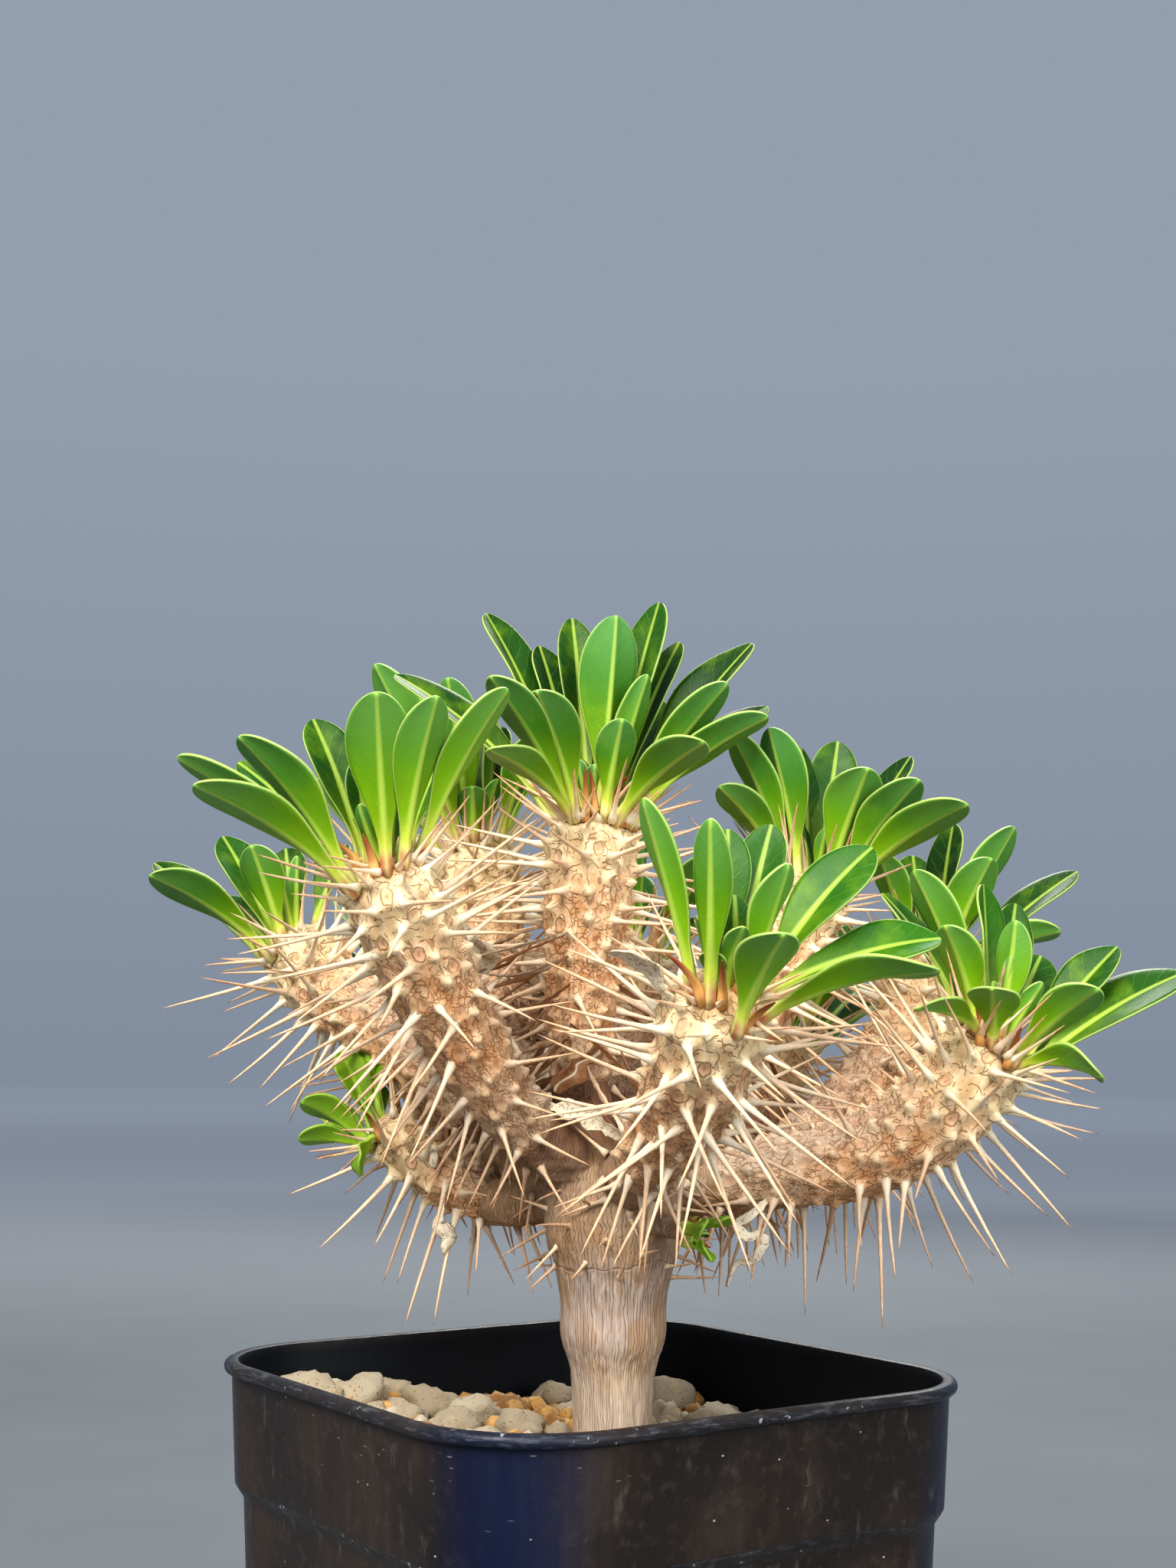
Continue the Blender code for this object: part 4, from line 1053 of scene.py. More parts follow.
def leaf_half_width(part, half, pointed):
    """Half the width along a leaf: a narrow stalk, widest at two thirds, a round tip. A leaf
    that is just opening is widest at its foot and pointed."""
    if pointed:
        return np.maximum(half * np.maximum(1 - part, 0) ** 0.7, LEAF_LEAST_HALF_WIDTH)
    spread = 0.2 + 0.8 * smooth(part, 0.08, 0.67)
    rounding = np.clip((part - 0.67) / 0.33, 0, 1)
    closing = np.maximum(1 - rounding**2.1, 0) ** 0.58
    reach = np.maximum(spread * half, LEAF_ROOT_HALF_WIDTH) * closing
    return np.maximum(reach, LEAF_LEAST_HALF_WIDTH)


def leaf_frames(root, tip, crown, t):
    """A leaf's middle line, which bows upwards, with the ways across it and in. Its upper side
    is turned a little towards the viewer or away."""
    chord = tip - root
    outward = unit(chord - crown * chord.dot(crown))
    control = root + unit(unit(chord) + LEAF_BOW * crown) * np.linalg.norm(chord) / 2
    middle = (1 - t) ** 2 * root + 2 * t * (1 - t) * control + t**2 * tip
    forward = unit((1 - t) * (control - root) + t * (tip - control))
    lean = np.arctan2(forward @ outward, forward @ crown)[:, None]
    inner = np.sin(lean) * crown - np.cos(lean) * outward
    shown = inner + LEAF_TURN * math.copysign(1, -chord[1]) * AWAY
    inner = unit(shown - forward * np.sum(shown * forward, axis=1)[:, None])
    return middle, np.cross(forward, inner), inner


def leaf_patch(root, tip, crown, width, draw, curl=0.0, tint=None, pointed=False):
    """A thin folded leaf with a keeled rib beneath, as in the part's source but fine."""
    length = np.linalg.norm(tip - root)
    part = 1 - (1 - np.linspace(0, 1, LEAF_ROWS)) ** 1.7
    part = np.concatenate([[-LEAF_SUNK / length], part])
    t = part[:, None]
    middle, side, inner = leaf_frames(root, tip, crown, t)

    share = np.linspace(-1, 1, LEAF_COLUMNS)
    reach = leaf_half_width(part, width / 2, pointed)[:, None]
    opened = np.interp(part, [0.33, 0.67, 0.91, 1], [1, 0.85, 0.6, 0.5])
    fold = (np.radians(LEAF_FOLD + draw.uniform(-5, 8)) * opened)[:, None]
    valley = np.sqrt(share**2 + 0.014) - 0.12
    rise = reach * np.sin(fold) * valley - reach * 0.12 * share**2 * t
    depth = draw.uniform(0.1, 0.45)
    ripple = depth * np.sin(t * draw.uniform(7, 12) + draw.uniform(0, 6) + 2.2 * np.sign(share))
    rise = rise + ripple * np.abs(share) ** 2 * np.clip(reach / 4, 0, 1)
    bend = draw.uniform(-0.6, 1.6) * t**3 + curl * t**2
    spread = reach * np.cos(fold) * share
    rib = (1.25 * (1 - 0.45 * t) - 0.42) * np.exp(-((share * reach) / (1.35 - 0.7 * t)) ** 2)
    stalk = 0.7 * (1 - smooth(t, 0.0, 0.16))
    thick = (0.42 + rib + stalk) * (0.35 + 0.65 * np.clip(reach / 1.5, 0, 1))
    top = middle[:, None] + side[:, None] * spread[..., None] + inner[:, None] * (rise - bend)[..., None]
    under = top - inner[:, None] * thick[..., None]

    flat = np.ones(top.shape[:2])
    tint = draw.random() if tint is None else tint
    at_top, at_under = (np.stack([flat * share * reach, flat * t, flat * upper], -1) for upper in (1, 0))
    tone = np.stack([flat * tint, flat * np.abs(share), flat * length], -1)
    data = {"leaf_at": both_sides(at_top, at_under), "leaf_tone": both_sides(tone, tone)}
    return tube_patch(both_sides(top, under), data)


def both_sides(top, under):
    """Rings that go over a leaf's upper side and back along its lower side."""
    return np.concatenate([top, under[:, ::-1]], axis=1)


def leaf_root(stem, place):
    """Where a leaf grows from the rounded tip, and which way is out: the outer leaves stand
    lower, round its shoulder."""
    tip_at, axis, crown = stem.centres[-1], stem.forwards[-1], crown_of(stem)
    offset = np.array(place, float)
    outward = offset - crown * offset.dot(crown)
    lean = math.atan2(np.linalg.norm(outward), offset.dot(crown))
    openness = min(lean / math.radians(48), 1)
    outward = unit(outward - axis * outward.dot(axis))
    reach = 0.15 + 0.78 * openness
    height = cap_height(stem) * math.sqrt(1 - reach * reach)
    return tip_at + axis * (height - 0.1) + outward * (0.88 * stem.radii[1] * reach), outward


def crown_of(stem):
    """The upright-leaning axis that a stem's leaves spread round."""
    axis = stem.forwards[-1]
    return unit(axis + CROWN_UPRIGHT * max(axis[2], 0) * UP)


def rosette_patches(branch, stem, seed):
    """The leaves of a branch, with a few young ones folded round its growing point."""
    draw = random.Random(seed + 300)
    tip_at, axis, side, up = (value[-1] for value in stem[:4])
    crown = crown_of(stem)
    is_sprout = branch.core < 5
    # Rosettes behind the trunk take the darker range of green: painted shade
    tints = FAR_PAINTED_SHADE_TINTS if tip_at[1] >= 0 else NEAR_TINTS
    if is_sprout:
        tints = SPROUT_TINTS
    made = []
    for *place, width in branch.leaves:
        root, _ = leaf_root(stem, place)
        tint = draw.uniform(*tints)
        made.append(leaf_patch(root, tip_at + place, crown, width, draw, tint=tint))
    for k in range(SPROUT_YOUNG_LEAVES if is_sprout else YOUNG_LEAVES):
        turn = k * GOLDEN_TURN + seed
        outward = math.cos(turn) * side + math.sin(turn) * up
        length = branch.core * draw.uniform(1.2, 2.6)
        root = tip_at + axis * branch.core * 0.4 + outward * branch.core * 0.16
        tip = root + unit(crown + 0.32 * outward) * length
        made.append(leaf_patch(root, tip, crown, branch.core * draw.uniform(0.5, 0.8), draw))
    return made + bract_patches(branch, stem, crown, draw)


def bract_patches(branch, stem, crown, draw):
    """Small brownish-red leaves, just opening, beside the feet of the others."""
    made = []
    width = branch.core * 0.3
    for *place, _ in branch.leaves:
        if draw.random() < 0.6:
            continue
        foot, outward = leaf_root(stem, place)
        across = np.cross(crown, outward) * draw.choice((-1, 1))
        root = foot + across * 1.9 - outward * 0.4
        aim = crown * draw.uniform(0.8, 1.2) + outward * draw.uniform(0.2, 0.9)
        aim = unit(aim + across * draw.uniform(0.1, 0.5))
        tip = root + aim * (branch.core * draw.uniform(0.9, 1.6))
        made.append(leaf_patch(root, tip, crown, width, draw, tint=BRACT_TINT, pointed=True))
    return made


# The trunk


def as_patch(mesh):
    """A mesh's points and faces, whatever mix of triangles and quads it has."""
    points = np.array([vertex.co for vertex in mesh.vertices], float)
    groups = {3: [], 4: []}
    for face in mesh.polygons:
        groups[len(face.vertices)].append(tuple(face.vertices))
    return Patch(points, [np.array(group) for group in groups.values() if group], {})


def evaluated(made):
    """A new mesh of an object with its modifiers applied."""
    graph = bpy.context.evaluated_depsgraph_get()
    return bpy.data.meshes.new_from_object(made.evaluated_get(graph))


def trunk_column():
    """The trunk's upright part, with an eased profile."""
    heights, radii = zip(*TRUNK_PROFILE)
    rows = np.arange(ROOT_DEPTH, heights[-1], 1.0)
    eased = np.pad(np.interp(rows, heights, radii), 2, mode="edge")
    eased = np.convolve(eased, np.ones(5) / 5, mode="valid")
    turns = ring_turns(TRUNK_SIDES)
    ring = np.stack([np.cos(turns), np.sin(turns)], 1)
    rings = np.zeros((len(rows), TRUNK_SIDES, 3))
    rings[..., :2] = ring[None] * eased[:, None, None] + np.array(TRUNK_MIDDLE)
    rings[..., 2] = rows[:, None]
    return tube_patch(rings, {})


def limb_patch(branch, stem):
    """The stub of a branch that belongs to the trunk."""
    along = np.arange(2, min(branch.split, stem.length) + 1.0, 1.0)
    reach, turn = np.repeat(along, LIMB_SIDES), np.tile(ring_turns(LIMB_SIDES), len(along))
    slim = stem._replace(radii=[radius - OLD_SKIN_THINNED for radius in stem.radii])
    points, _, _ = stem_surface(slim, reach, turn)
    return tube_patch(points.reshape(len(along), LIMB_SIDES, 3), {})


def trunk_patch(stems):
    """The trunk and the stubs of its limbs, grown together and then fissured."""
    limbs = [limb_patch(branch, stems[branch.name]) for branch in BRANCHES]
    raw = bare_solid("raw_trunk", [trunk_column()] + limbs)
    remesh = raw.modifiers.new("grown_together", "REMESH")
    remesh.mode = "VOXEL"
    remesh.voxel_size = BARK_VOXEL * 1
    ease = raw.modifiers.new("eased", "SMOOTH")
    ease.iterations = 6
    ease.factor = 0.5
    mesh = evaluated(raw)
    bpy.data.objects.remove(raw, do_unlink=True)
    normals = np.array([vertex.normal for vertex in mesh.vertices])
    patch = as_patch(mesh)
    height = patch.points[:, 2]
    neck = smooth(height, 128, 140)
    fissures = -np.abs(wobble(patch.points * np.array((1, 1, 0.1)), 0.9, 2)) * 0.35
    ripples = np.abs(np.sin(height * 1.7 + 3 * wobble(patch.points, 0.12, 1))) * 0.25
    lumps = wobble(patch.points, 0.13, 2) * (0.15 + 0.6 * neck)
    push = fissures + ripples * neck * (1 - smooth(height, 143, 150)) + lumps + 0.15
    return patch._replace(points=patch.points + normals * push[:, None])


def trunk_spine_patches(trees):
    """Short old spines round the trunk's neck."""
    draw = random.Random(5)
    low, high, count = NECK_SPINES
    heights, radii = zip(*TRUNK_PROFILE)
    made = []
    for k in range(count):
        height = low + (high - low) * (k + 0.5) / count
        outward = np.array((math.cos(k * GOLDEN_TURN), math.sin(k * GOLDEN_TURN), 0))
        lean = math.radians(draw.uniform(-40, 20))
        aim = outward * math.cos(lean) + UP * math.sin(lean)
        radius = np.interp(height, heights, radii)
        root = np.array((*TRUNK_MIDDLE, height)) + outward * (radius - 0.2)
        aim, length = clear_aim(root, aim, UP, draw.uniform(5, 10), trees)
        if aim is not None:
            bow = UP * draw.uniform(-0.08, 0.08)
            made.append(spine_patch(root, aim, length, bow, draw.random(), 1.0))
    return made


def limb_sites(stem, branch, seed):
    """A few growth sites on the limb between the trunk and the branch's own solid."""
    draw = random.Random(seed + 500)
    run = min(branch.split, stem.length) - LIMB_START
    count = max(0, round(run / LIMB_SITE_PITCH))
    return [
        (LIMB_START + run * (k + 0.5) / count, k * GOLDEN_TURN + draw.uniform(-0.2, 0.2))
        for k in range(count)
    ]


def dress_plant():
    """Every stem with its spines and leaves, then the trunk, then the withered bits. A spine
    is kept clear of all surfaces but its own."""
    skin, horn, leaf = skin_material(), spine_material(), [leaf_material()]
    stems = {b.name: smooth_stem([HEAD] + b.path, b.radii) for b in BRANCHES}
    rosettes = {b.name: rosette_patches(b, stems[b.name], k) for k, b in enumerate(BRANCHES)}
    sites, skins = {}, {}
    for seed, branch in enumerate(BRANCHES):
        name, stem = branch.name, stems[branch.name]
        if branch.split < stem.length:
            sites[name] = growth_sites(stem, branch.split, seed)
            skins[name] = skin_patch(stem, branch.split - 3, sites[name])
    trunk = trunk_patch(stems)
    trees = {"stem_" + name: tree_of([patch]) for name, patch in skins.items()}
    trees.update({"leaves_" + name: tree_of(patches) for name, patches in rosettes.items()})
    trees["trunk"] = tree_of([trunk])

    trunk_parts = [trunk]
    for seed, branch in enumerate(BRANCHES):
        name, stem = branch.name, stems[branch.name]
        if name in skins:
            others = [tree for key, tree in trees.items() if key != "stem_" + name]
            patches = [skins[name]] + spine_patches(stem, sites[name], seed, others)
            patches += young_spine_patches(branch, stem, seed, others)
            build("stem_" + name, patches, [skin, horn], ["branch_" + name])
            others = [tree for key, tree in trees.items() if key not in ("stem_" + name, "trunk")]
            trunk_parts += spine_patches(stem, limb_sites(stem, branch, seed), seed, others)
        build("leaves_" + name, rosettes[name], leaf, ["rosette_" + name])
    others = [tree for key, tree in trees.items() if key != "trunk"]
    trunk_parts += trunk_spine_patches(others)
    build("trunk_bark", trunk_parts, [bark_material(), horn], ["trunk"])
    dress_withered(stems, trees)


# Withered bits


def touching(point, trees):
    """The nearest place on any of the surfaces."""
    found = [tree.find_nearest(Vector(point)) for tree in trees]
    return np.array(min(found, key=lambda hit: hit[3])[0])


def shred_patch(points, width, tint, draw):
    """A thin, cupped and twisted strip through the points, narrow at both ends."""
    strip = smooth_stem(points)
    part = np.linspace(0, 1, len(strip.centres))
    twist = draw.uniform(0, math.tau) + part * draw.uniform(-3, 3)
    flat = np.cos(twist)[:, None] * strip.sides + np.sin(twist)[:, None] * strip.ups
    thin = np.cross(strip.forwards, flat)[:, None]
    places = [Vector((t * strip.length * 0.6, tint * 9, width)) for t in part]
    ragged = 1 + 0.7 * np.array([noise.noise(place) for place in places])
    half = 0.5 * width * np.sin(math.pi * (0.06 + 0.88 * part)) ** 0.5 * ragged
    turns = ring_turns(12)
    share = np.cos(turns)
    across = (share * half[:, None])[..., None]
    cup = (0.45 * share**2 * half[:, None] + 0.17 * np.sin(turns))[..., None]
    rings = strip.centres[:, None] + flat[:, None] * across + thin * cup
    at, tone = (np.broadcast_to((first, 0.0, 0.0), rings.shape) for first in (OFF_RIB, tint))
    return tube_patch(rings, {"leaf_at": at, "leaf_tone": tone})


def straw_patches(near, far, low, high, count, draw, trees):
    """Dead spines and strips that lie between two stems, from one to the other."""
    made = []
    for _ in range(count):
        share = draw.random()
        ends = []
        for stem in (near, far):
            part = min(max(share + draw.uniform(-0.2, 0.2), 0), 1)
            reach = stem.length * (low + (high - low) * part)
            ends.append(stem_frames(stem, np.array([reach]))[0][0])
        side = unit([draw.gauss(0, 1) for _ in range(3)])
        start = touching(ends[0] + 0.35 * (ends[1] - ends[0]) + side * 5, trees[:1])
        end = touching(ends[1] + 0.35 * (ends[0] - ends[1]) + side * 5, trees[1:])
        sag = (start + end) / 2 + UP * draw.uniform(-2.5, 1.0) + AWAY * draw.uniform(-2, 2)
        width = draw.uniform(0.5, 1.3)
        made.append(shred_patch([start, sag, end], width, draw.uniform(-0.45, 0.35), draw))
    return made


def crumpled(patch, depth):
    """The same leaf, dried and buckled."""
    shifts = [Vector(shift) for shift in ((0, 0, 0), (31, 0, 7), (0, 57, 13))]
    push = [[noise.noise(Vector(p) * 0.28 + shift) for shift in shifts] for p in patch.points]
    return patch._replace(points=patch.points + np.array(push) * depth)


def dress_withered(stems, trees):
    """Old leaves, white shreds and straw, each held by a surface."""
    draw = random.Random(41)
    dry = [dry_leaf_material()]
    every = list(trees.values())
    leaves = []
    for root, tip, facing, width, tint in OLD_LEAVES:
        root, tip = touching(root, every), np.array(tip, float)
        leaf = leaf_patch(root, tip, unit(facing), width, draw, 0.5, tint)
        leaves.append(crumpled(leaf, 1.3))
    build("withered_leaves", leaves, dry)
    shreds = []
    for points, width in SHREDS:
        start = touching(points[0], every)
        shreds.append(shred_patch([start] + points[1:], width, 1.0, draw))
    for near, far, low, high, count in STRAW:
        pair = [trees["stem_" + near], trees["stem_" + far]]
        shreds += straw_patches(stems[near], stems[far], low, high, count, draw, pair)
    build("papery_shreds", shreds, dry)


# The pot and what fills it


def plain_row(points):
    """Points of the pot's own frame, in millimetres, as metres."""
    return np.asarray(points, float) * MM


def pot_ring(inset, height):
    """A ring of the pot's rounded square, that far inside the lip's outer edge."""
    half = POT_SIDE / 2 - inset
    corner = POT_CORNER - inset
    arcs = []
    for quarter in range(4):
        middle = math.radians(45 + 90 * quarter)
        across = math.copysign(half - corner, math.cos(middle))
        along = math.copysign(half - corner, math.sin(middle))
        arc = []
        for k in range(CORNER_STEPS + 1):
            turn = math.radians(90 * quarter + 90 * k / CORNER_STEPS)
            arc.append((across + corner * math.cos(turn), along + corner * math.sin(turn), height))
        arcs.append(np.array(arc))
    ring = []
    for arc, following in zip(arcs, arcs[1:] + arcs[:1]):
        here, there = arc[-1], following[0]
        ring += [*arc, *(here + (there - here) * k / SIDE_STEPS for k in range(1, SIDE_STEPS))]
    return ring


def wall_inset(height):
    """How far the pot's outer wall stands inside the lip's edge at a height."""
    tapered = LIP_REACH + BAND_TAPER * (UNDER_LIP - max(height, STEP_TOP))
    stepped = min(STEP_IN * max(STEP_TOP - height, 0) / STEP_DROP, STEP_IN)
    return tapered + stepped + LOWER_TAPER * max(STEP_BOTTOM - height, 0)


def wall_run(low, high, step, inside=0):
    """Points of the wall's profile between two heights."""
    count = max(2, round(abs(high - low) / step))
    return [(wall_inset(z) + POT_WALL * inside, z, inside, 0) for z in np.linspace(low, high, count)]


def pot_profile():
    """The pot's section, from the edge of its floor up the outside, over the lip and down the
    inside. Each point has its inset, height, whether it is inside, and how worn its edge is."""
    foot = wall_inset(0)
    profile = [(foot + 14, 0, 0, 0), (foot + FOOT_CHAMFER + 0.6, 0, 0, 0.5)]
    for turn in np.radians(np.linspace(0, 90, 5)):
        inset = wall_inset(FOOT_CHAMFER) + FOOT_CHAMFER * (1 - math.sin(turn))
        profile.append((inset, FOOT_CHAMFER * (1 - math.cos(turn)), 0, 1))
    profile += wall_run(4, STEP_BOTTOM - 0.6, 4)
    profile += [
        (wall_inset(STEP_BOTTOM), STEP_BOTTOM, 0, 0.1),
        (wall_inset(STEP_TOP - 0.5), STEP_TOP - 0.5, 0, 0.5),
        (wall_inset(STEP_TOP), STEP_TOP + 0.1, 0, 0.7),
    ]
    profile += wall_run(STEP_TOP + 0.8, UNDER_LIP - 0.5, 3)
    profile.append((wall_inset(UNDER_LIP), UNDER_LIP - 0.1, 0, 0.1))
    bead = LIP_DEPTH / 2
    for turn in np.radians(np.linspace(-80, 80, 9)):
        profile.append((bead - bead * math.cos(turn), POT_HEIGHT - bead + bead * math.sin(turn), 0, 1))
    profile += [
        (LIP_THICKNESS - 0.7, POT_HEIGHT, 0.2, 0.8),
        (LIP_THICKNESS - 0.2, POT_HEIGHT - 0.15, 0.5, 0.6),
        (LIP_THICKNESS, POT_HEIGHT - 0.6, 0.8, 0.3),
    ]
    inner_top = POT_HEIGHT - 2.0
    widening = wall_inset(STEP_TOP) + POT_WALL - LIP_THICKNESS
    for z in np.linspace(inner_top, STEP_TOP, 8):
        part = (inner_top - z) / (inner_top - STEP_TOP)
        profile.append((LIP_THICKNESS + widening * part, z, 1, 0))
    return profile + wall_run(STEP_BOTTOM, POT_FLOOR, 8, inside=1)


def carry_data(mesh, patch):
    """Gives each point of a cut mesh the data of the patch's nearest point."""
    nearest = KDTree(len(patch.points))
    for number, point in enumerate(patch.points * MM):
        nearest.insert(point, number)
    nearest.balance()
    found = [nearest.find(vertex.co)[1] for vertex in mesh.vertices]
    for key, values in patch.data.items():
        mesh.attributes[key].data.foreach_set("vector", values[found].ravel().astype(np.float32))


def drain_drills():
    """A collection of the four rods that cut the drain holes."""
    drains = bpy.data.collections.new("drains")
    bpy.context.scene.collection.children.link(drains)
    turns = ring_turns(40)
    for across in (-DRAIN_PLACE, DRAIN_PLACE):
        for along in (-DRAIN_PLACE, DRAIN_PLACE):
            rings = np.zeros((2, 40, 3))
            rings[..., 0] = across + DRAIN_RADIUS * np.cos(turns)
            rings[..., 1] = along + DRAIN_RADIUS * np.sin(turns)
            rings[..., 2] = np.array((-2, 2 * POT_FLOOR))[:, None]
            drill = bare_solid("drill", [tube_patch(rings * MM, {})])
            bpy.context.scene.collection.objects.unlink(drill)
            drains.objects.link(drill)
    return drains


def dress_pot():
    """The moulded pot, with slightly wavy walls and its drain holes cut out."""
    profile = np.array(pot_profile())
    rings = np.array([pot_ring(inset, z) for inset, z in profile[:, :2]])
    sag = 0.22 * np.sin(rings[..., 0] * 0.06 + 1) * np.sin(rings[..., 1] * 0.05 + 0.4)
    rings = rings + unit(rings * np.array((1, 1, 0))) * sag[..., None]
    tone = np.zeros(rings.shape)
    tone[..., :2] = profile[:, None, 2:]
    body = tube_patch(rings, {"pot_at": rings, "pot_tone": tone})
    pot = build("nursery_pot", [body], [pot_material()], ["pot"], plain_row)
    drains = drain_drills()
    cut = pot.modifiers.new("drain_holes", "BOOLEAN")
    cut.operation = "DIFFERENCE"
    cut.operand_type = "COLLECTION"
    cut.collection = drains
    bpy.context.view_layer.update()
    holed = evaluated(pot)
    pot.modifiers.clear()
    pot.data = holed
    for drill in list(drains.objects):
        bpy.data.objects.remove(drill, do_unlink=True)
    bpy.data.collections.remove(drains)
    carry_data(pot.data, body)
    pot.data.shade_smooth()
    pot.data.set_sharp_from_angle(angle=math.radians(40))


def ball(subdivisions):
    """A round ball's points and triangles."""
    made = bmesh.new()
    bmesh.ops.create_icosphere(made, subdivisions=subdivisions, radius=1)
    points = np.array([vertex.co for vertex in made.verts])
    faces = np.array([[vertex.index for vertex in face.verts] for face in made.faces])
    made.free()
    return points, faces


def stone_patch(shape, place, radius, flatness, kind, draw):
    """A worn stone: a ball with a few flats and lumps."""
    points, faces = shape
    reach = np.ones(len(points))
    for _ in range(draw.randint(3, 7)):
        flat = unit([draw.gauss(0, 1) for _ in range(3)])
        depth = draw.uniform(0.7, 0.92)
        facing = np.maximum(points @ flat, 1e-3)
        reach = np.minimum(reach, np.where(facing > depth * 0.8, depth / facing, 9))
    lumps = wobble(points, 1.7, shift=[draw.uniform(0, 99) for _ in range(3)])
    shaped = points * (reach + 0.3 * lumps)[:, None]
    shaped = shaped * np.array((1.1, draw.uniform(0.65, 1.0), flatness)) * radius
    tumble = Matrix.Rotation(draw.uniform(0, math.tau), 3, "Z")
    tumble = tumble @ Matrix.Rotation(draw.uniform(-0.6, 0.6), 3, "X")
    shaped = shaped @ np.array(tumble).T + np.array(place)
    tone = np.broadcast_to(np.array((kind, draw.random(), 0)), shaped.shape)
    return Patch(shaped, [faces], {"stone_tone": tone})


def inside_pot(place, radius, height):
    """The nearest point at which a stone of that radius clears the pot's wall."""
    half = POT_SIDE / 2 - wall_inset(height) - POT_WALL - 0.6 - radius
    corner = max(POT_CORNER - wall_inset(height) - POT_WALL - radius, 2.0)
    x, y = (max(-half, min(half, value)) for value in place)
    over = np.array((abs(x) - (half - corner), abs(y) - (half - corner)))
    if over.min() > 0 and np.linalg.norm(over) > corner:
        over *= corner / np.linalg.norm(over)
        x = math.copysign(half - corner + over[0], x)
        y = math.copysign(half - corner + over[1], y)
    return x, y


def bed_rise(x, y):
    """How much higher the bed lies at a place: it is heaped up on the left."""
    turn = math.radians(PLANT_TURN)
    right = np.asarray(x) * math.cos(turn) + np.asarray(y) * math.sin(turn)
    return 6.0 * smooth(-right, 15.0, 50.0) - 1.5 * smooth(right, 10.0, 40.0)


def bed_patch():
    """The uneven bed of fine grains under the stones, with the trunk's hole filled up to it."""
    low = pot_ring(wall_inset(SOIL_TOP + 1) + POT_WALL + 0.3, SOIL_TOP + 0.4)
    edge = np.array(pot_ring(wall_inset(GRAVEL_BED) + POT_WALL + 0.3, GRAVEL_BED))
    rings = np.array([low] + [edge * np.array((share, share, 1)) for share in BED_RINGS])
    upper = rings[1:]
    lift = wobble(upper.reshape(-1, 3), 0.16).reshape(upper.shape[:2])
    upper[..., 2] += lift * 1.2 + bed_rise(upper[..., 0], upper[..., 1])
    tone = np.broadcast_to((0.8, 0.8, 0.0), rings.shape)
    return tube_patch(rings, {"stone_tone": tone})


def is_free(x, y, radius, seen):
    """Whether a stone there would miss the trunk and the big stones that are listed."""
    trunk = turned((*TRUNK_MIDDLE, 0))
    if math.hypot(x - trunk[0], y - trunk[1]) < TRUNK_CLEARANCE + radius * 0.8:
        return False
    return all(r <= BIG_STONE or math.hypot(x - a, y - b) >= 0.8 * (radius + r) for a, b, _, r, _ in seen)


def loose_stones(pitch, least, most, level, fineness, flatness, seen, draw):
    """Stones on a loose grid. The big ones leave gaps, and small ones there are often clay."""
    made = []
    shape = ball(fineness)
    is_coarse = pitch > 8
    count = math.ceil(POT_SIDE / pitch)
    for row in range(count):
        for column in range(count):
            radius = draw.uniform(least, most)
            place = ((column + 0.5 * (row % 2)) * pitch - POT_SIDE / 2 + draw.uniform(-1.6, 1.6),
                     row * pitch - POT_SIDE / 2 + draw.uniform(-1.6, 1.6))
            if max(abs(place[0]), abs(place[1])) > POT_SIDE / 2 - 4:
                continue
            x, y = inside_pot(place, radius, level)
            if not is_free(x, y, radius, seen):
                continue
            cluster = noise.noise(Vector((x * 0.05, y * 0.05, 3.3)))
            if is_coarse and draw.random() < 0.2 + 0.8 * cluster:
                continue
            is_clay = not is_coarse and draw.random() < 0.5 + 1.2 * cluster
            height = level + draw.uniform(-1.0, 0.8) + bed_rise(x, y)
            made.append(stone_patch(shape, (x, y, height), radius, flatness, float(is_clay), draw))
    return made


def dress_gravel():
    """The bed, the stones that the photo shows, and two layers of others; then the soil."""
    draw = random.Random(23)
    big, small = ball(3), ball(2)
    patches = [bed_patch()]
    seen = [(*turned(place), radius, kind) for place, radius, kind in SEEN_STONES]
    for x, y, z, radius, kind in seen:
        x, y = inside_pot((x, y), radius, z)
        shape, flatness = (big, 0.66) if radius > BIG_STONE else (small, 0.9)
        place = (x, y, z - SEEN_SUNK)
        patches.append(stone_patch(shape, place, radius * SEEN_WIDENED, flatness, kind, draw))
    for layer in STONE_LAYERS:
        patches += loose_stones(*layer, seen, draw)
    build("gravel_stones", patches, [stone_material()], ["gravel"], plain_row)
    soil = frame["nodes"]["soil"]
    soil.data.materials.clear()
    soil.data.materials.append(soil_material())


# The stage


def add_light(name, place, size, power, tint):
    """A round lamp at a place in the plant frame, aimed at the plant."""
    lamp = bpy.data.lights.new(name, "AREA")
    lamp.shape = "DISK"
    lamp.size = size
    lamp.energy = power
    lamp.color = tint
    made = add_object(name, lamp)
    at, target = (Vector(point) for point in to_row([place, LIT_POINT]))
    made.location = at
    made.rotation_euler = (target - at).to_track_quat("-Z", "Y").to_euler()


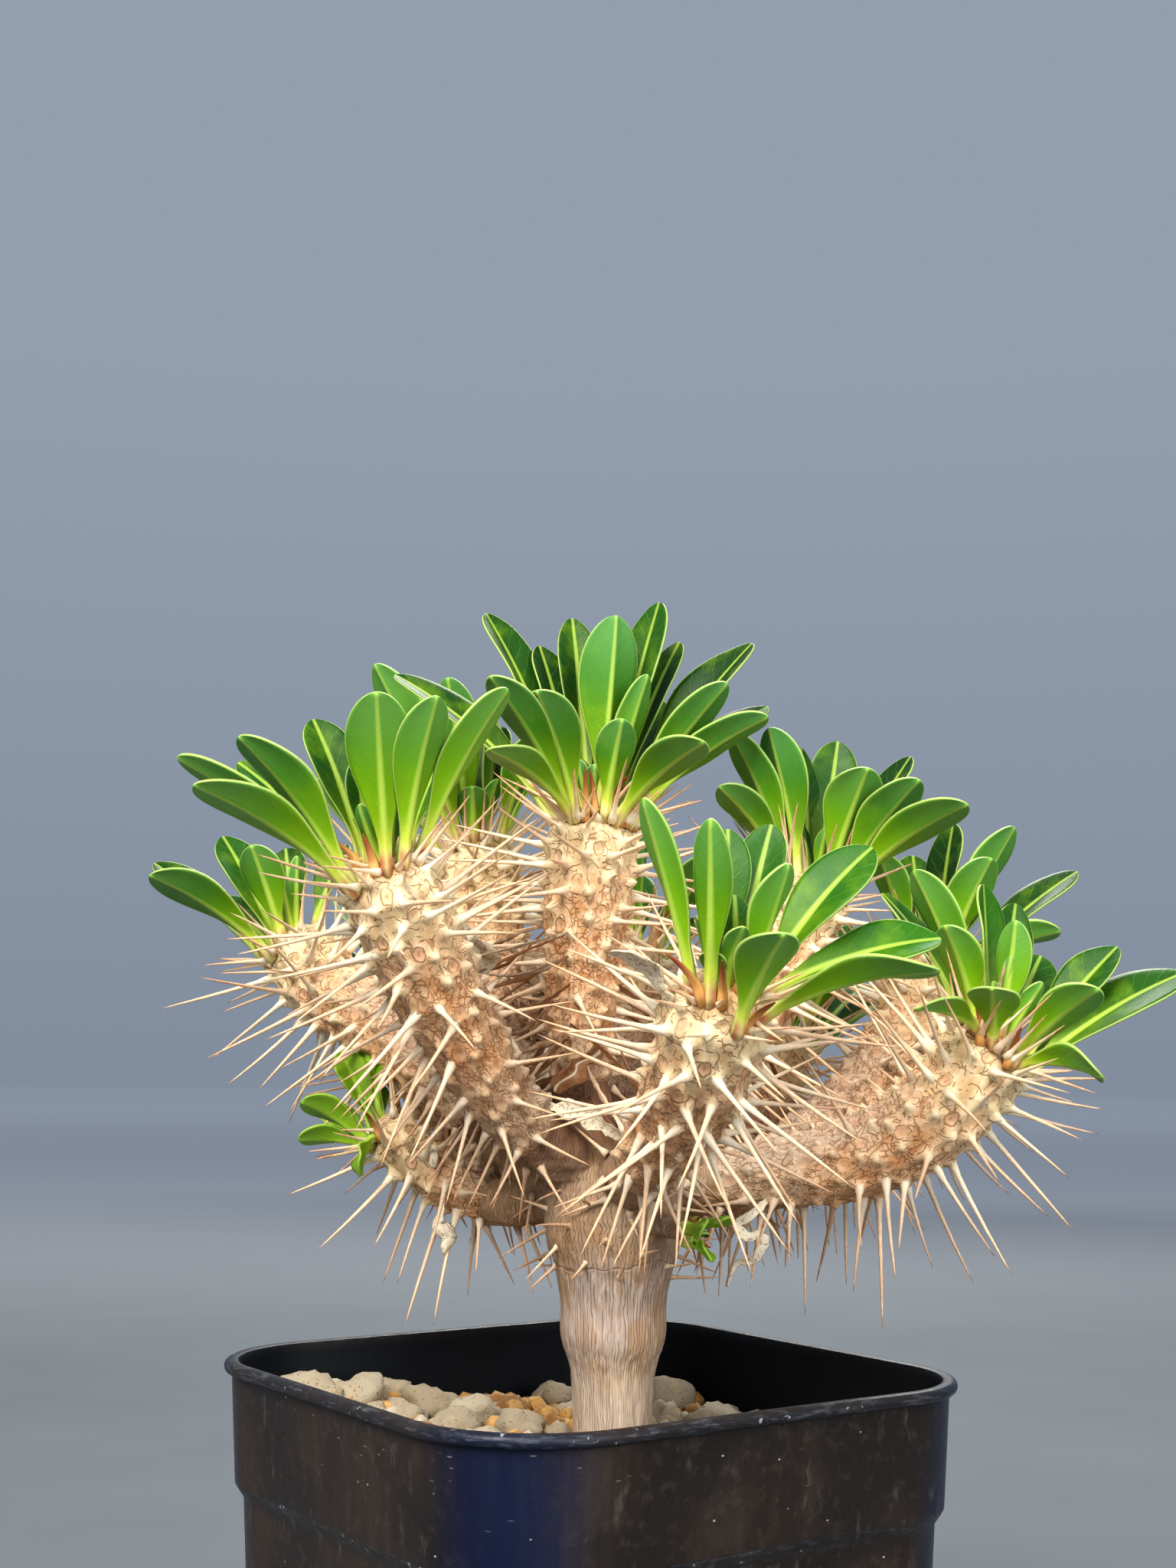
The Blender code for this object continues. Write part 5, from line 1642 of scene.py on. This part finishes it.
def set_floor():
    """A wide floor, grey near the pot and in the foreground, and paler further off."""
    bpy.ops.mesh.primitive_circle_add(
        vertices=96, radius=FLOOR_REACH, fill_type="NGON", location=(0, 0, -0.0003))
    floor = bpy.context.object
    floor.name = "floor"
    g = Graph("pale_floor", 1.0, 0.0)
    place = g.millimetres()
    away = g.length(g.shift(place, tuple(-turned(DARKEST_FLOOR))))
    g.body = g.mix(g.noise(place, 0.01), "6c7074", "74787c")
    g.coat(g.band(away, 900.0, 2600.0), "d3d5d8")
    g.coat(g.band(away, 2600.0, 6500.0), "ebecef")
    floor.data.materials.append(g.finish())


def set_sky():
    """A soft sky that is a little paler higher up."""
    world = bpy.data.worlds.new("soft_sky")
    world.use_nodes = True
    nodes, links = world.node_tree.nodes, world.node_tree.links
    sky = nodes["Background"]
    sky.inputs["Strength"].default_value = 0.55
    place = nodes.new("ShaderNodeTexCoord")
    split = nodes.new("ShaderNodeSeparateXYZ")
    ramp = nodes.new("ShaderNodeValToRGB")
    low, high = ramp.color_ramp.elements
    low.color = colour("a9b5c7")
    high.color = colour("bcc8d9")
    high.position = 0.35
    links.new(place.outputs["Generated"], split.inputs[0])
    links.new(split.outputs[2], ramp.inputs[0])
    links.new(ramp.outputs[0], sky.inputs["Color"])
    bpy.context.scene.world = world


def set_stage():
    """The floor, the sky and three lamps: bright from the left, softer from the right."""
    bpy.context.scene.view_settings.view_transform = "Standard"
    bpy.context.scene.view_settings.look = "Medium High Contrast"
    set_floor()
    set_sky()
    add_light("key", (-400, -850, 1050), 0.8, 26, (1.0, 0.97, 0.92))
    add_light("fill", (780, -1100, 640), 1.1, 13.5, (0.98, 0.99, 1.0))
    add_light("back", (200, 1000, 1000), 0.7, 12, (1.0, 1.0, 0.96))


def set_camera():
    """The photograph's camera: low, near, looking a little upwards past a pot corner."""
    distance, height, pitch, roll, lens = 341.5, 162.0, 8.55, 0.57, 43.07
    camera = bpy.data.cameras.new("camera")
    camera.lens = lens
    camera.sensor_width = 36.0
    camera.clip_start = 0.01
    made = add_object("camera", camera)
    aim = Matrix.Rotation(math.radians(PLANT_TURN), 4, "Z")
    aim = aim @ Matrix.Rotation(math.radians(90 + pitch), 4, "X")
    aim = aim @ Matrix.Rotation(math.radians(roll), 4, "Z")
    made.matrix_world = Matrix.Translation(to_row([(0, -distance, height)])[0]) @ aim
    bpy.context.scene.camera = made


set_camera()
dress_pot()
dress_gravel()
dress_plant()
set_stage()
